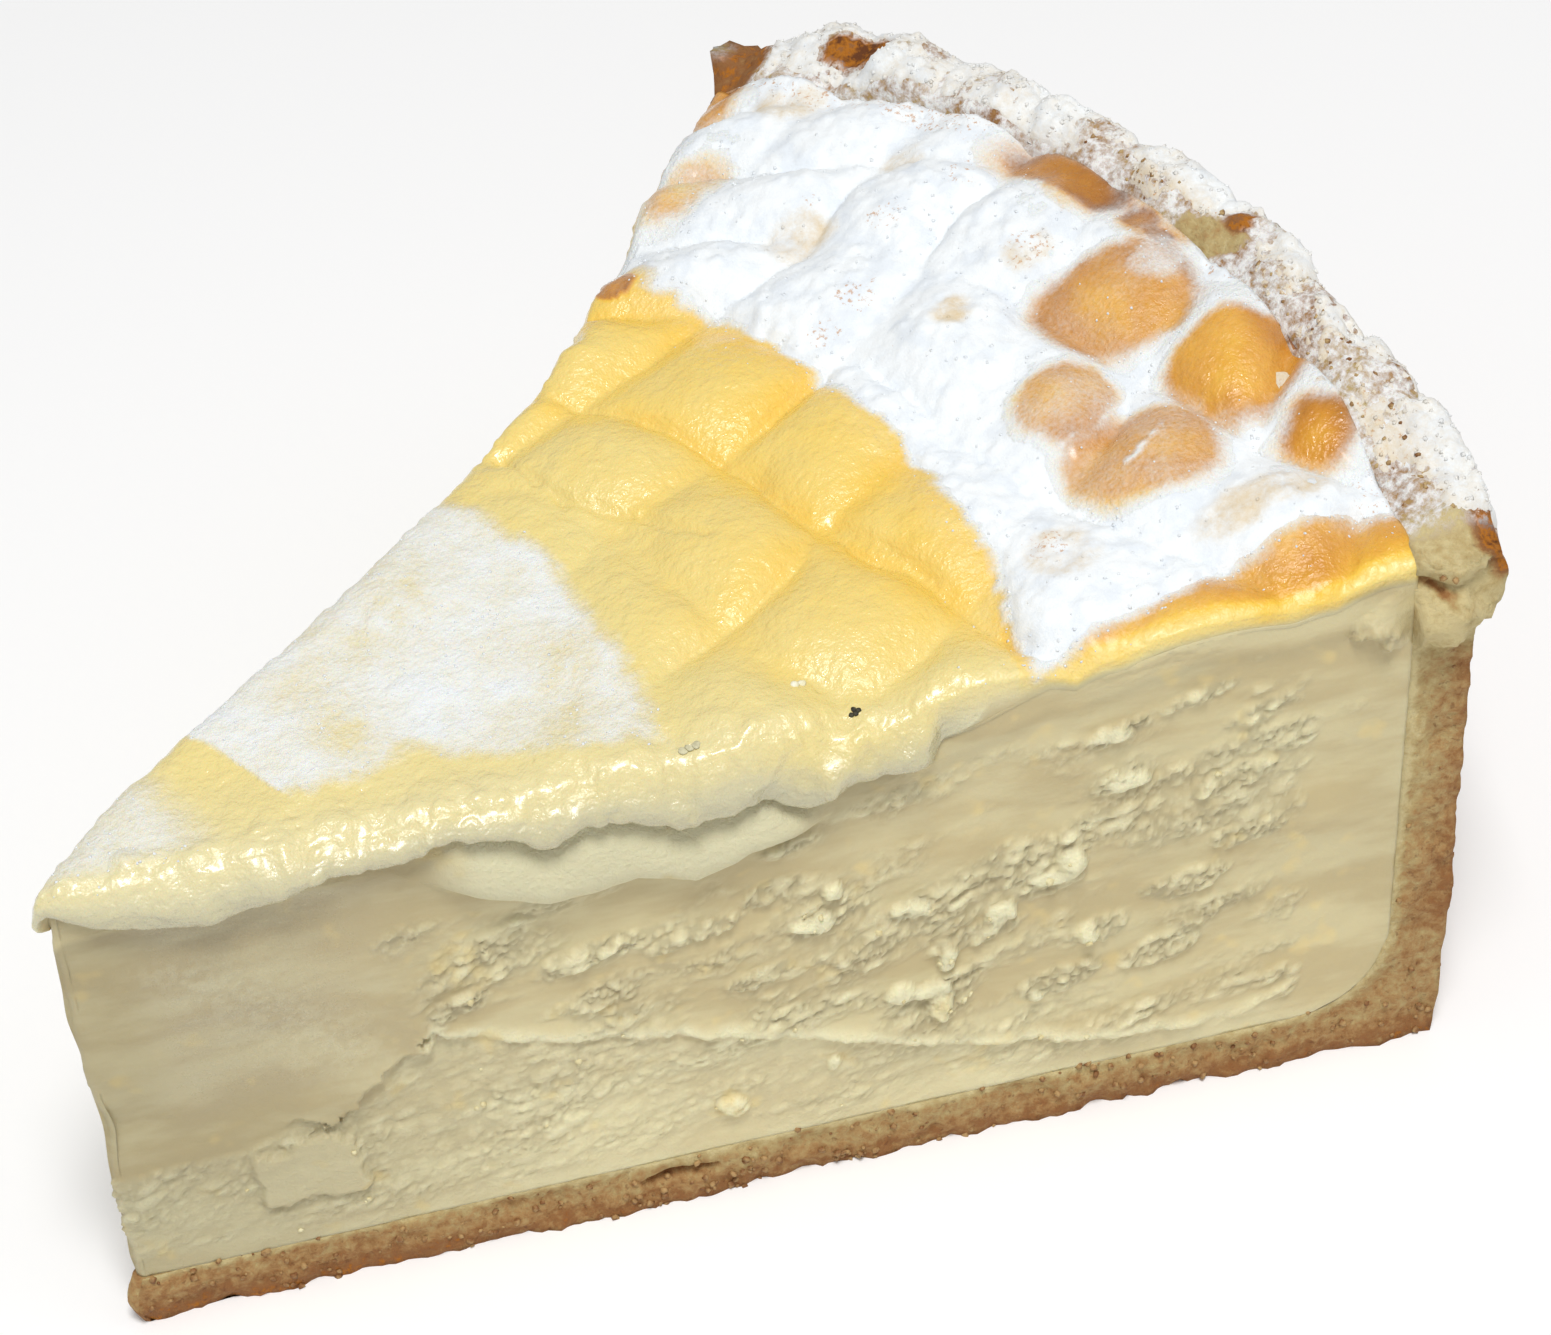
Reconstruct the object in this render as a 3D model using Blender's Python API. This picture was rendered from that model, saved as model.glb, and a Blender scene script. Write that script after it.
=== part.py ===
"""Cheesecake slice: a soft curd wedge with a quilted baked top, standing in a shortcrust pastry shell.

Metres, +Z up. The tip of the slice points to -X, the pastry rim to +X, and the slice stands on z = 0.
The plan is worked out from the tip of the slice, then moved so that the origin is under its middle.
"""

import math

import bmesh
import bpy

MM = 0.001

# The cake. Its middle is close to the tip of the slice, because the knife missed it a little.
CAKE_RADIUS = 129.6 * MM
CAKE_MIDDLE_X = -0.6 * MM
CAKE_MIDDLE_Y = 6.4 * MM
SLICE_ANGLE = math.radians(50.5)
TIP_RADIUS = 0.8 * MM
TIP_REACH = 0.5 * MM

# Top of the curd, by distance from the middle of the cake.
TIP_HEIGHT = 56.0 * MM
INNER_RING_RADIUS = 57.0 * MM
INNER_RING_HEIGHT = 56.7 * MM
OUTER_RING_RADIUS = 89.4 * MM
OUTER_RING_HEIGHT = 57.8 * MM
OUTER_RING_SWELL = 1.6 * MM
RIM_HEIGHT_FRONT = 61.6 * MM
RIM_HEIGHT_BACK = 56.8 * MM
RIM_SWELL = 8.3 * MM

# Pastry shell.
BASE_THICKNESS = 6.0 * MM
WALL_THICKNESS = 5.7 * MM
INNER_CORNER_RADIUS = 10.0 * MM
RIM_FOOT_HEIGHT = 50.0 * MM
RIM_OVERHANG = 2.3 * MM
RIM_CREST = 1.7 * MM
RIM_EDGE_DROP = 1.2 * MM
PASTRY_CRAG = 0.55 * MM
RIM_CRAG = 1.0 * MM
TOE_LENGTH = 1.5 * MM
GAP = 0.3 * MM

# Quilted relief of the baked top: creases that run out from the tip, and creases across them.
QUILT_PITCH_OUT = 15.0 * MM
QUILT_PITCH_ACROSS = 15.2 * MM
QUILT_CREASE_X = 77.0 * MM
QUILT_CREASE_Y = 3.9 * MM
QUILT_HEIGHT = 2.0 * MM
QUILT_START_RADIUS = 54.0 * MM
RIM_GROOVE = 1.6 * MM

# Smeared lip of top skin that hangs over the front cut, and the soft roll of curd under it.
LIP_BOTTOM = 52.2 * MM
LIP_THICKNESS = 3.0 * MM
LIP_END = 77.0 * MM
LIP_RISE_END = 101.0 * MM
LIP_BOTTOM_AT_RIM = 60.0 * MM
DROPS = (
    (13.0 * MM, 6.0 * MM, 1.5 * MM),
    (45.0 * MM, 5.0 * MM, 0.6 * MM),
    (57.0 * MM, 4.0 * MM, 1.4 * MM),
    (67.5 * MM, 2.1 * MM, 3.2 * MM),
)
ROLL_START = 31.0 * MM
ROLL_END = 75.0 * MM
ROLL_DEPTH = 7.0 * MM
ROLL_THICKNESS = 2.1 * MM

# Cut faces.
BACK_LIP_HEIGHT = 4.5 * MM
BACK_LIP_THICKNESS = 1.3 * MM
EDGE_ROUND = 2.6 * MM
STROKE_RELIEF = 0.4 * MM
FLAKES = (
    (89.0 * MM, 35.0 * MM, 2.2 * MM, 1.0 * MM),
    (82.5 * MM, 30.0 * MM, 2.0 * MM, 0.8 * MM),
    (75.5 * MM, 20.5 * MM, 3.6 * MM, 1.3 * MM),
    (56.5 * MM, 10.5 * MM, 2.4 * MM, 1.0 * MM),
    (42.0 * MM, 38.0 * MM, 3.0 * MM, 0.7 * MM),
    (22.0 * MM, 19.0 * MM, 5.0 * MM, 0.6 * MM),
)
KNIFE_RIDGE = 0.9 * MM
KNIFE_RIDGE_START = (31.0 * MM, 29.5 * MM)
KNIFE_RIDGE_END = (92.0 * MM, 10.0 * MM)
BOW_DEPTH = 8.4 * MM
BOW_AT = 76.0 * MM
BOW_REACH_IN = 64.0 * MM
BOW_REACH_OUT = 55.0 * MM
BOW_POWER = 1.3
BOW_SHARE_AT_BASE = 0.6
NOTCH_AT = 81.0 * MM
NOTCH_DEPTH = 1.2 * MM
NOTCH_WIDTH = 1.8 * MM
LOBE_AT = 87.5 * MM
LOBE_DEPTH = 0.5 * MM
LOBE_WIDTH = 4.0 * MM

# From the tip of the slice to the middle of its bounding box.
SHIFT_X = 65.2 * MM
SHIFT_Y = 0.9 * MM

# Grid of the curd and of the pastry: steps out from the tip, across the slice and through the thickness.
CURD_STEPS_OUT = 54
PASTRY_STEPS_BASE = 22
PASTRY_STEPS_WALL = 7
PASTRY_LAYERS = 3
STEPS_ACROSS = 16
EDGE_STEPS = (0.0, 0.012, 0.034, 0.066, 0.108)

HALF_ANGLE = SLICE_ANGLE / 2
CURD_BOTTOM = BASE_THICKNESS + GAP
WALL_INNER_RADIUS = CAKE_RADIUS - WALL_THICKNESS
CURD_RADIUS = WALL_INNER_RADIUS - GAP
CURD_CORNER_RADIUS = INNER_CORNER_RADIUS - GAP
FRONT_NORMAL = (-math.sin(HALF_ANGLE), -math.cos(HALF_ANGLE))
BACK_NORMAL = (-math.sin(HALF_ANGLE), math.cos(HALF_ANGLE))


def clamp(value, low=0.0, high=1.0):
    return max(low, min(high, value))


def smooth(value):
    value = clamp(value)
    return value * value * (3 - 2 * value)


def mix(a, b, share):
    return a + (b - a) * share


def bump(distance, width):
    return math.exp(-((distance / width) ** 2))


def corner_value(i, j, k, seed):
    value = math.sin(i * 127.1 + j * 311.7 + k * 74.7 + seed * 53.3) * 43758.5453
    return value - math.floor(value)


def noise(x, y, z, size, seed):
    """Smooth noise from -1 to 1, with features of the given size."""
    x, y, z = x / size, y / size, z / size
    i, j, k = math.floor(x), math.floor(y), math.floor(z)
    u, v, w = smooth(x - i), smooth(y - j), smooth(z - k)
    total = 0.0
    for di, su in ((0, 1 - u), (1, u)):
        for dj, sv in ((0, 1 - v), (1, v)):
            for dk, sw in ((0, 1 - w), (1, w)):
                total += su * sv * sw * corner_value(i + di, j + dj, k + dk, seed)
    return 2 * total - 1


def crags(x, y, z, size, seed):
    return 0.65 * noise(x, y, z, size, seed) + 0.35 * noise(x, y, z, size * 0.45, seed + 7)


def from_middle(x, y):
    return math.hypot(x - CAKE_MIDDLE_X, y - CAKE_MIDDLE_Y)


def share_across(x, y):
    """0 on the front cut, 1 on the back cut."""
    return clamp((math.atan2(y, x) + HALF_ANGLE) / SLICE_ANGLE)


def tip_point(across):
    """Point of the small round at the tip, from the front cut to the back cut."""
    turn = -(math.pi / 2 + HALF_ANGLE) - across * (math.pi - SLICE_ANGLE)
    start = TIP_RADIUS / math.sin(HALF_ANGLE) - TIP_REACH
    return start + TIP_RADIUS * math.cos(turn), TIP_RADIUS * math.sin(turn)


def ring_point(across, radius):
    """Point on a ring of the cake, along the line out from the tip."""
    angle = -HALF_ANGLE + across * SLICE_ANGLE
    along = math.cos(angle) * CAKE_MIDDLE_X + math.sin(angle) * CAKE_MIDDLE_Y
    rest = along * along - CAKE_MIDDLE_X**2 - CAKE_MIDDLE_Y**2 + radius * radius
    reach = along + math.sqrt(rest)
    return reach * math.cos(angle), reach * math.sin(angle)


def bow(distance, height):
    """How far the back cut lies inside its straight line."""
    reach = BOW_REACH_IN if distance < BOW_AT else BOW_REACH_OUT
    depth = BOW_DEPTH * max(0.0, 1 - (abs(distance - BOW_AT) / reach) ** BOW_POWER)
    depth *= mix(BOW_SHARE_AT_BASE, 1.0, clamp(height / TIP_HEIGHT))
    skin = smooth((height - 40 * MM) / (12 * MM))
    depth += skin * NOTCH_DEPTH * bump(distance - NOTCH_AT, NOTCH_WIDTH)
    return depth - skin * LOBE_DEPTH * bump(distance - LOBE_AT, LOBE_WIDTH)


def plan(out, across, radius, height):
    """Point of the slice in plan: out from the tip (0 to 1) and across from front cut to back cut."""
    x0, y0 = tip_point(across)
    x1, y1 = ring_point(across, radius)
    x, y = mix(x0, x1, out), mix(y0, y1, out)
    inward = across * bow(math.hypot(x, y), height)
    return x - BACK_NORMAL[0] * inward, y - BACK_NORMAL[1] * inward


def quilt(x, y):
    """Pillow height between the creases, from 0 in a crease to 1 in the middle of a pillow.

    It comes with the way to the nearest crease across the slice and to the nearest one out from the tip.
    """
    out = x - QUILT_CREASE_X
    rise = 0.08 * out + 3.5 * max(0.0, out) ** 2
    pitch = QUILT_PITCH_ACROSS * (1 - 3.4 * out)
    side = (y - QUILT_CREASE_Y - rise) / pitch
    bend = -11.5 * max(0.0, y + 2 * MM) ** 2 + 3.5 * max(0.0, -y - 5 * MM) ** 2
    ahead = (out - bend) / QUILT_PITCH_OUT
    aside, away = round(side) - side, round(ahead) - ahead
    u, v = abs(aside) * 2, abs(away) * 2
    pillow = math.sqrt((1 - (1 - u) ** 2) * (1 - (1 - v) ** 2))
    return pillow, away * QUILT_PITCH_OUT, aside * pitch


def at_crease(x, y):
    """Moves a point of the top onto a crease that is close to it, so that an edge of the grid follows it."""
    for _ in range(2):
        _, away, aside = quilt(x, y)
        x += away if abs(away) < 1.3 * MM else 0.0
        y += aside if abs(aside) < 1.9 * MM else 0.0
    return x, y


def skin_height(x, y):
    """Top of the baked skin, without its round at the cuts."""
    radius = from_middle(x, y)
    across = share_across(x, y)
    swell = math.sin(math.pi * across)
    ring = OUTER_RING_HEIGHT + OUTER_RING_SWELL * swell
    if radius < INNER_RING_RADIUS:
        height = mix(TIP_HEIGHT, INNER_RING_HEIGHT, radius / INNER_RING_RADIUS)
    elif radius < OUTER_RING_RADIUS:
        share = (radius - INNER_RING_RADIUS) / (OUTER_RING_RADIUS - INNER_RING_RADIUS)
        height = mix(INNER_RING_HEIGHT, ring, share)
    else:
        share = (radius - OUTER_RING_RADIUS) / (CAKE_RADIUS - OUTER_RING_RADIUS)
        rim = mix(RIM_HEIGHT_FRONT, RIM_HEIGHT_BACK, across) + RIM_SWELL * swell
        height = mix(ring, rim, min(share, 1.1))
    start = smooth((radius - QUILT_START_RADIUS) / (12 * MM))
    height += start * QUILT_HEIGHT * (quilt(x, y)[0] - 0.55)
    height += 0.35 * MM * noise(x, y, 0.0, 9 * MM, 3)
    groove = bump(radius - (CURD_RADIUS + 0.5 * MM), 2.6 * MM)
    return height - RIM_GROOVE * groove


def lip_bottom(along, with_drops=True):
    """Lower edge of the skin on the front cut."""
    height = LIP_BOTTOM + 0.5 * MM * math.sin(along / (3.1 * MM))
    if with_drops:
        height -= sum(drop * bump(along - place, width) for place, width, drop in DROPS)
    rise = smooth((along - LIP_END) / (LIP_RISE_END - LIP_END))
    return mix(height, LIP_BOTTOM_AT_RIM, rise)


def lip_out(along):
    end = 1 - smooth((along - LIP_END + 4 * MM) / (7 * MM))
    start = mix(0.3, 1.0, smooth(along / (16 * MM)))
    return LIP_THICKNESS * start * end + 0.3 * MM


def roll_share(along):
    share = clamp((along - ROLL_START) / (ROLL_END - ROLL_START))
    return math.sin(math.pi * share) ** 0.7 if 0 < share < 1 else 0.0


def roll_bottom(along):
    wave = 0.9 * MM * math.sin((along - 44 * MM) / (2.1 * MM) - math.pi / 2)
    share = roll_share(along)
    return lip_bottom(along, False) - 2.0 * MM - share * (ROLL_DEPTH - wave)


def face_relief(along, height, seed):
    """Knife strokes of a cut face, which run along the cut and a little down towards the rim."""
    slanted = height + 0.1 * along
    relief = noise(along, 0.0, slanted * 2.2, 19 * MM, seed)
    return STROKE_RELIEF * (relief + 0.6 * noise(along, 0.0, slanted * 1.8, 8 * MM, seed + 5))


def flakes(along, height):
    """Larger lumps of curd that the knife dragged up on the front cut."""
    total = 0.0
    for place, level, size, out in FLAKES:
        total += out * bump(math.hypot(along - place, (height - level) * 1.3), size)
    return total


def knife_ridge(along, height):
    x0, z0 = KNIFE_RIDGE_START
    x1, z1 = KNIFE_RIDGE_END
    share = (along - x0) / (x1 - x0)
    side = height - mix(z0, z1, share)
    inside = smooth(share * 6) * smooth((1 - share) * 6)
    return KNIFE_RIDGE * inside * bump(side, 1.5 * MM)


def curd_rows():
    """Rows of a cut face: the part between two heights of curd_keys, and the share within it."""
    corner = [(0, share) for share in (0.0, 0.03, 0.075, 0.14, 0.22)]
    face = [(0, mix(0.22, 0.965, step / 8)) for step in range(1, 9)]
    roll = [(1, share) for share in (0.0, 0.3, 0.65, 0.9)]
    return corner + face + roll + [(2, share) for share in LIP_ROUND]


LIP_ROUND = {0.0: 0.7, 0.25: 1.0, 0.5: 0.96, 0.75: 0.7, 1.0: 0.2}
ROLL_ROUND = {0.0: 0.65, 0.3: 1.0, 0.65: 0.75, 0.9: 0.25}
CURD_ROWS = curd_rows()


def curd_keys(along, top, across):
    """Heights of the bottom, the roll, the lower edge of the skin and the top, at a cut."""
    back = top - BACK_LIP_HEIGHT - 0.6 * MM * math.sin(along / (4.3 * MM))
    lip = min(mix(lip_bottom(along), back, across), top - 1.6 * MM)
    roll = min(mix(roll_bottom(along), back - 3 * MM, across), lip - 1.0 * MM)
    return CURD_BOTTOM, roll, lip, top


def cut_offset(row, along, height, across):
    """How far a cut face stands out from its plane: the strokes, the roll and the lip."""
    part, share = row
    relief = face_relief(along, height, 11 if across < 0.5 else 31)
    strength = smooth((height - CURD_BOTTOM) / (4 * MM) + 0.25)
    if part == 0:
        lumps = knife_ridge(along, height) + flakes(along, height) if across < 0.5 else 0.0
        return strength * relief + lumps
    front = 1 - across
    if part == 1:
        roll = front * smooth(roll_share(along) * 1.5) * ROLL_THICKNESS * ROLL_ROUND[share]
        return 0.3 * relief + roll - 0.3 * MM * share
    thickness = mix(lip_out(along), BACK_LIP_THICKNESS, across)
    wobble = 1 + 0.25 * noise(along, across, height, 6 * MM, 17)
    return thickness * wobble * LIP_ROUND[share]


def curd_point(out, across, level):
    """Maps a point of the unit grid onto the surface of the curd."""
    at_cut = across in (0.0, 1.0)
    row = CURD_ROWS[min(len(CURD_ROWS) - 1, round(level * (len(CURD_ROWS) - 1)))]
    x, y = plan(out, across, CURD_RADIUS, TIP_HEIGHT)
    along = math.hypot(x, y)
    if level == 1.0 and 0 < out < 1 and EDGE_STEPS[-1] < across < 1 - EDGE_STEPS[-1]:
        if from_middle(x, y) > QUILT_START_RADIUS:
            x, y = at_crease(x, y)
            return x, y, skin_height(x, y)
    top = skin_height(x, y)
    top -= edge_drop(x, y, across, along)
    keys = curd_keys(along, top, across)
    part, share = row
    height = mix(keys[part], keys[part + 1], share)
    inset = 0.0
    rise = height - CURD_BOTTOM
    if rise < CURD_CORNER_RADIUS:
        left = CURD_CORNER_RADIUS - rise
        inset = CURD_CORNER_RADIUS - math.sqrt(CURD_CORNER_RADIUS**2 - left**2)
    x, y = plan(out * (1 - inset / CURD_RADIUS), across, CURD_RADIUS, height)
    if at_cut or out == 0.0:
        normal = FRONT_NORMAL if across < 0.5 else BACK_NORMAL
        if not at_cut:
            normal = (-1.0, 0.0)
        fade = 1 - smooth((out - 0.94) / 0.06)
        offset = cut_offset(row, along, height, across) * fade
        x, y = x + normal[0] * offset, y + normal[1] * offset
    return x, y, height


def edge_drop(x, y, across, along):
    """The round that takes the skin down to each cut."""
    width = along * math.sin(SLICE_ANGLE)
    near = min(across, 1 - across) * width + 0.25 * TIP_RADIUS
    near = min(near, along)
    if near >= EDGE_ROUND:
        return 0.0
    left = EDGE_ROUND - near
    return 0.55 * (EDGE_ROUND - math.sqrt(EDGE_ROUND**2 - left**2))


def rim_outline(x, y):
    """How far the rim stands out beyond its even overhang."""
    angle = math.degrees(math.atan2(y, x))
    out = 2.9 * MM * bump(angle - 20.3, 3.4) + 0.6 * MM * bump(angle + 23.0, 2.5)
    out += 0.9 * MM * bump(angle + 19.0, 4.0)
    return out - 1.1 * MM * bump(angle - 4.0, 5.0) - 0.9 * MM * bump(angle + 11.0, 2.2)


def rim_rise(x, y):
    """How far the rim stands above the line of the skin, which differs along it."""
    angle = math.degrees(math.atan2(y, x))
    return 2.1 * MM * bump(angle - 15.5, 6.0) - 0.6 * MM * smooth((angle - 22.0) / 3)


def pastry_profile():
    """Steps along the pastry, from the tip to the top of the rim: outer and inner side of each.

    Each side is (share out from the tip, height, share of the rim between its foot and its top).
    """
    steps = []
    corner = 1 - INNER_CORNER_RADIUS / WALL_INNER_RADIUS
    for i in range(PASTRY_STEPS_BASE + 1):
        share = corner * i / PASTRY_STEPS_BASE
        steps.append(((share, 0.0, 0.0), (share, BASE_THICKNESS, 0.0)))
    outer = ((0.962, 0.0), (0.994, 0.0), (1.0, 5.0 * MM), (1.0, 16.0 * MM))
    for i, (share, height) in enumerate(outer):
        turn = math.pi / 2 * (i + 1) / len(outer)
        reach = corner + INNER_CORNER_RADIUS / WALL_INNER_RADIUS * math.sin(turn)
        rise = INNER_CORNER_RADIUS * (1 - math.cos(turn))
        steps.append(((share, height, 0.0), (reach, BASE_THICKNESS + rise, 0.0)))
    for i in range(1, PASTRY_STEPS_WALL + 1):
        height = mix(BASE_THICKNESS + INNER_CORNER_RADIUS, RIM_FOOT_HEIGHT, i / PASTRY_STEPS_WALL)
        steps.append(((1.0, height, 0.0), (1.0, height, 0.0)))
    for outer_share, inner_share in RIM_STEPS:
        steps.append(((1.0, 0.0, outer_share), (1.0, 0.0, inner_share)))
    return steps


def pastry_point(step, across, layer, count):
    """Maps a point of the unit grid onto the surface of the pastry."""
    index = round(step * (count - 1))
    outer, inner = PASTRY_STEPS[index]
    side_x = []
    for (share, height, rim), radius in ((outer, CAKE_RADIUS), (inner, WALL_INNER_RADIUS)):
        x, y = plan(share, across, radius, height)
        if rim > 0:
            top = skin_height(x, y) + RIM_GROOVE * bump(from_middle(x, y) - CURD_RADIUS, 2.6 * MM)
            height = mix(RIM_FOOT_HEIGHT, top - RIM_EDGE_DROP, rim / RIM_STEPS[-1][0])
            height += smooth(rim) * rim_rise(x, y)
            if radius == CAKE_RADIUS:
                bulge = smooth((rim - 0.12) / 0.5) * (1 - 0.45 * smooth((rim - 0.75) / 0.25))
                reach = RIM_OVERHANG * bulge + rim_outline(x, y) * smooth(rim * 2.5)
                reach += RIM_CRAG * 0.6 * crags(x, y, height, 6 * MM, 51) * smooth(rim * 3)
                x, y = plan(share, across, radius + reach, height)
            else:
                lean = 0.9 * MM * smooth(rim) * (1 + crags(x, y, height, 5 * MM, 61))
                x, y = plan(share, across, radius + lean, height)
        elif share >= 0.99 and radius == CAKE_RADIUS and height > 0:
            rough = 0.3 * MM * crags(x, y, height, 7 * MM, 71)
            x, y = plan(share, across, radius + rough, height)
        side_x.append((x, y, height))
    point = [mix(a, b, layer) for a, b in zip(*side_x)]
    last = index == count - 1
    if last:
        hump = RIM_CREST * math.sin(math.pi * layer) ** 0.6 if 0 < layer < 1 else 0.0
        point[2] += hump + RIM_CRAG * crags(point[0], point[1], 0.0, 5 * MM, 81) * (0.3 + hump / RIM_CREST)
    if across in (0.0, 1.0):
        normal = FRONT_NORMAL if across == 0.0 else BACK_NORMAL
        out = PASTRY_CRAG * crags(point[0], point[1], point[2], 4 * MM, 91)
        if inner[2] > 0:
            bulge = 0.5 * MM if across == 0.0 else 1.7 * MM
            out += bulge * bump(layer - 0.45, 0.4) * smooth(inner[2] * 3)
        point[0] += normal[0] * out
        point[1] += normal[1] * out
    if index == 0:
        toe = TOE_LENGTH * bump(layer - 0.45, 0.5) * (1 + 0.3 * crags(point[0], point[1], point[2], 2 * MM, 95))
        point[0] -= toe
    return point


RIM_STEPS = ((0.12, 0.14), (0.24, 0.32), (0.48, 0.5), (0.76, 0.74), (1.0, 0.96))
PASTRY_STEPS = pastry_profile()


def across_levels():
    """Shares across the slice, closer together at the cuts."""
    inner = [mix(EDGE_STEPS[-1], 1 - EDGE_STEPS[-1], i / STEPS_ACROSS) for i in range(1, STEPS_ACROSS)]
    return list(EDGE_STEPS) + inner + [1 - value for value in reversed(EDGE_STEPS)]


def even_levels(steps):
    return [i / steps for i in range(steps + 1)]


def gridded_cube(levels):
    """A unit cube cut along the given levels of x, y and z."""
    mesh = bmesh.new()
    bmesh.ops.create_cube(mesh, size=1.0)
    bmesh.ops.translate(mesh, verts=mesh.verts, vec=(0.5, 0.5, 0.5))
    for axis in range(3):
        for value in levels[axis][1:-1]:
            place = [0.0, 0.0, 0.0]
            normal = [0.0, 0.0, 0.0]
            place[axis] = value
            normal[axis] = 1.0
            geometry = mesh.verts[:] + mesh.edges[:] + mesh.faces[:]
            bmesh.ops.bisect_plane(mesh, geom=geometry, plane_co=place, plane_no=normal, dist=1e-7)
    return mesh


def snapped(value, levels):
    return min(levels, key=lambda level: abs(level - value))


def join_flat(mesh, faces):
    """Joins flat neighbouring faces into one."""
    bmesh.ops.dissolve_faces(mesh, faces=faces)


def material(name, colour, roughness):
    made = bpy.data.materials.new(name)
    made.use_nodes = True
    shader = made.node_tree.nodes["Principled BSDF"]
    shader.inputs["Base Color"].default_value = (*colour, 1.0)
    shader.inputs["Roughness"].default_value = roughness
    return made


def add_node(name, mesh, look, collection):
    bmesh.ops.recalc_face_normals(mesh, faces=mesh.faces)
    data = bpy.data.meshes.new(name)
    mesh.to_mesh(data)
    mesh.free()
    data.materials.append(look)
    made = bpy.data.objects.new(name, data)
    made.location = (-SHIFT_X, -SHIFT_Y, 0.0)
    collection.objects.link(made)
    return made


def build_curd():
    levels = (even_levels(CURD_STEPS_OUT), across_levels(), even_levels(len(CURD_ROWS) - 1))
    mesh = gridded_cube(levels)
    bottom = [face for face in mesh.faces if all(vert.co.z < 1e-6 for vert in face.verts)]
    for vert in mesh.verts:
        place = [snapped(vert.co[axis], levels[axis]) for axis in range(3)]
        vert.co = curd_point(*place)
    join_flat(mesh, bottom)
    return mesh


def build_pastry():
    count = len(PASTRY_STEPS)
    levels = (even_levels(count - 1), across_levels(), even_levels(PASTRY_LAYERS))
    mesh = gridded_cube(levels)
    flat_end = PASTRY_STEPS_BASE / (count - 1) + 1e-6
    base_end = (PASTRY_STEPS_BASE + 2) / (count - 1) + 1e-6
    under = [f for f in mesh.faces if all(v.co.z < 1e-6 and v.co.x < base_end for v in f.verts)]
    upper = [f for f in mesh.faces if all(v.co.z > 1 - 1e-6 and v.co.x < flat_end for v in f.verts)]
    for vert in mesh.verts:
        place = [snapped(vert.co[axis], levels[axis]) for axis in range(3)]
        vert.co = pastry_point(place[0], place[1], place[2], count)
    join_flat(mesh, under)
    join_flat(mesh, upper)
    return mesh


def main():
    for old in list(bpy.data.objects):
        bpy.data.objects.remove(old, do_unlink=True)
    collection = bpy.data.collections.new("cheesecake_slice")
    bpy.context.scene.collection.children.link(collection)
    curd = material("curd", (0.86, 0.76, 0.50), 0.42)
    pastry = material("shortcrust", (0.72, 0.50, 0.29), 0.85)
    add_node("pastry_shell", build_pastry(), pastry, collection)
    add_node("curd_filling", build_curd(), curd, collection)


main()
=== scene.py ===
"""Cheesecake slice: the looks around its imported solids.

The curd with its baked skin and the shortcrust shell are dense meshes on the same named sizes as
the solids. Powdered sugar, crumbs and torn curd lie on them. Lengths are in millimetres from the
tip of the slice, and become metres in the row's frame when a mesh is made.
"""

import logging
import math
from dataclasses import dataclass
from enum import Enum

import bmesh
import bpy
import numpy as np
from mathutils import Matrix
from mathutils.bvhtree import BVHTree


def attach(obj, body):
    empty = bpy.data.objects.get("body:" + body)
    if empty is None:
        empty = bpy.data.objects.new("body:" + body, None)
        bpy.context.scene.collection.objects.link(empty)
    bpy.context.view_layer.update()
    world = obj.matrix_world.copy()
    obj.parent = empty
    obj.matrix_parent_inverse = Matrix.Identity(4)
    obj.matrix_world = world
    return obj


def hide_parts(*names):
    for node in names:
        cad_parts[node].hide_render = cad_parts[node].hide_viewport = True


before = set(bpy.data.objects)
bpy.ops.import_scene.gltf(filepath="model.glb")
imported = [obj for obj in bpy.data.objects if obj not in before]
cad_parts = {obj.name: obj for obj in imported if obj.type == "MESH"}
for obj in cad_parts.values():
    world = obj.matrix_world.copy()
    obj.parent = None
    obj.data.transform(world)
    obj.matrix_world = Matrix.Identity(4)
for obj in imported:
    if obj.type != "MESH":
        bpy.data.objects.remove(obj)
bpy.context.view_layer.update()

Array = np.ndarray
Socket = bpy.types.NodeSocket
LOG = logging.getLogger("cheesecake")


def smooth(value: Array) -> Array:
    """Eases 0 to 1 in and out."""
    value = np.clip(value, 0.0, 1.0)
    return value * value * (3 - 2 * value)


def mix(a: Array, b: Array, share: Array) -> Array:
    """Goes from a to b as share goes from 0 to 1."""
    return a + (b - a) * share


def bump(distance: Array, width: float) -> Array:
    """A soft hump of height 1 around distance 0."""
    return np.exp(-((distance / width) ** 2))


def cell_value(i: Array, j: Array, k: Array, seed: float) -> Array:
    """A fixed value from 0 to 1 for each whole-numbered cell."""
    value = np.sin(i * 127.1 + j * 311.7 + k * 74.7 + seed * 53.3) * 43758.5453
    return value - np.floor(value)


def noise(x: Array, y: Array, z: Array, size: float, seed: float) -> Array:
    """Smooth noise from -1 to 1.

    Args:
        x, y, z: place in mm.
        size: size of its features in mm.
        seed: which noise.

    Returns:
        The noise at each place.
    """
    x, y, z = np.broadcast_arrays(x / size, y / size, z / size)
    i, j, k = np.floor(x), np.floor(y), np.floor(z)
    u, v, w = smooth(x - i), smooth(y - j), smooth(z - k)
    total = np.zeros_like(u)
    for di, su in ((0, 1 - u), (1, u)):
        for dj, sv in ((0, 1 - v), (1, v)):
            for dk, sw in ((0, 1 - w), (1, w)):
                total += su * sv * sw * cell_value(i + di, j + dj, k + dk, seed)
    return 2 * total - 1


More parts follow.
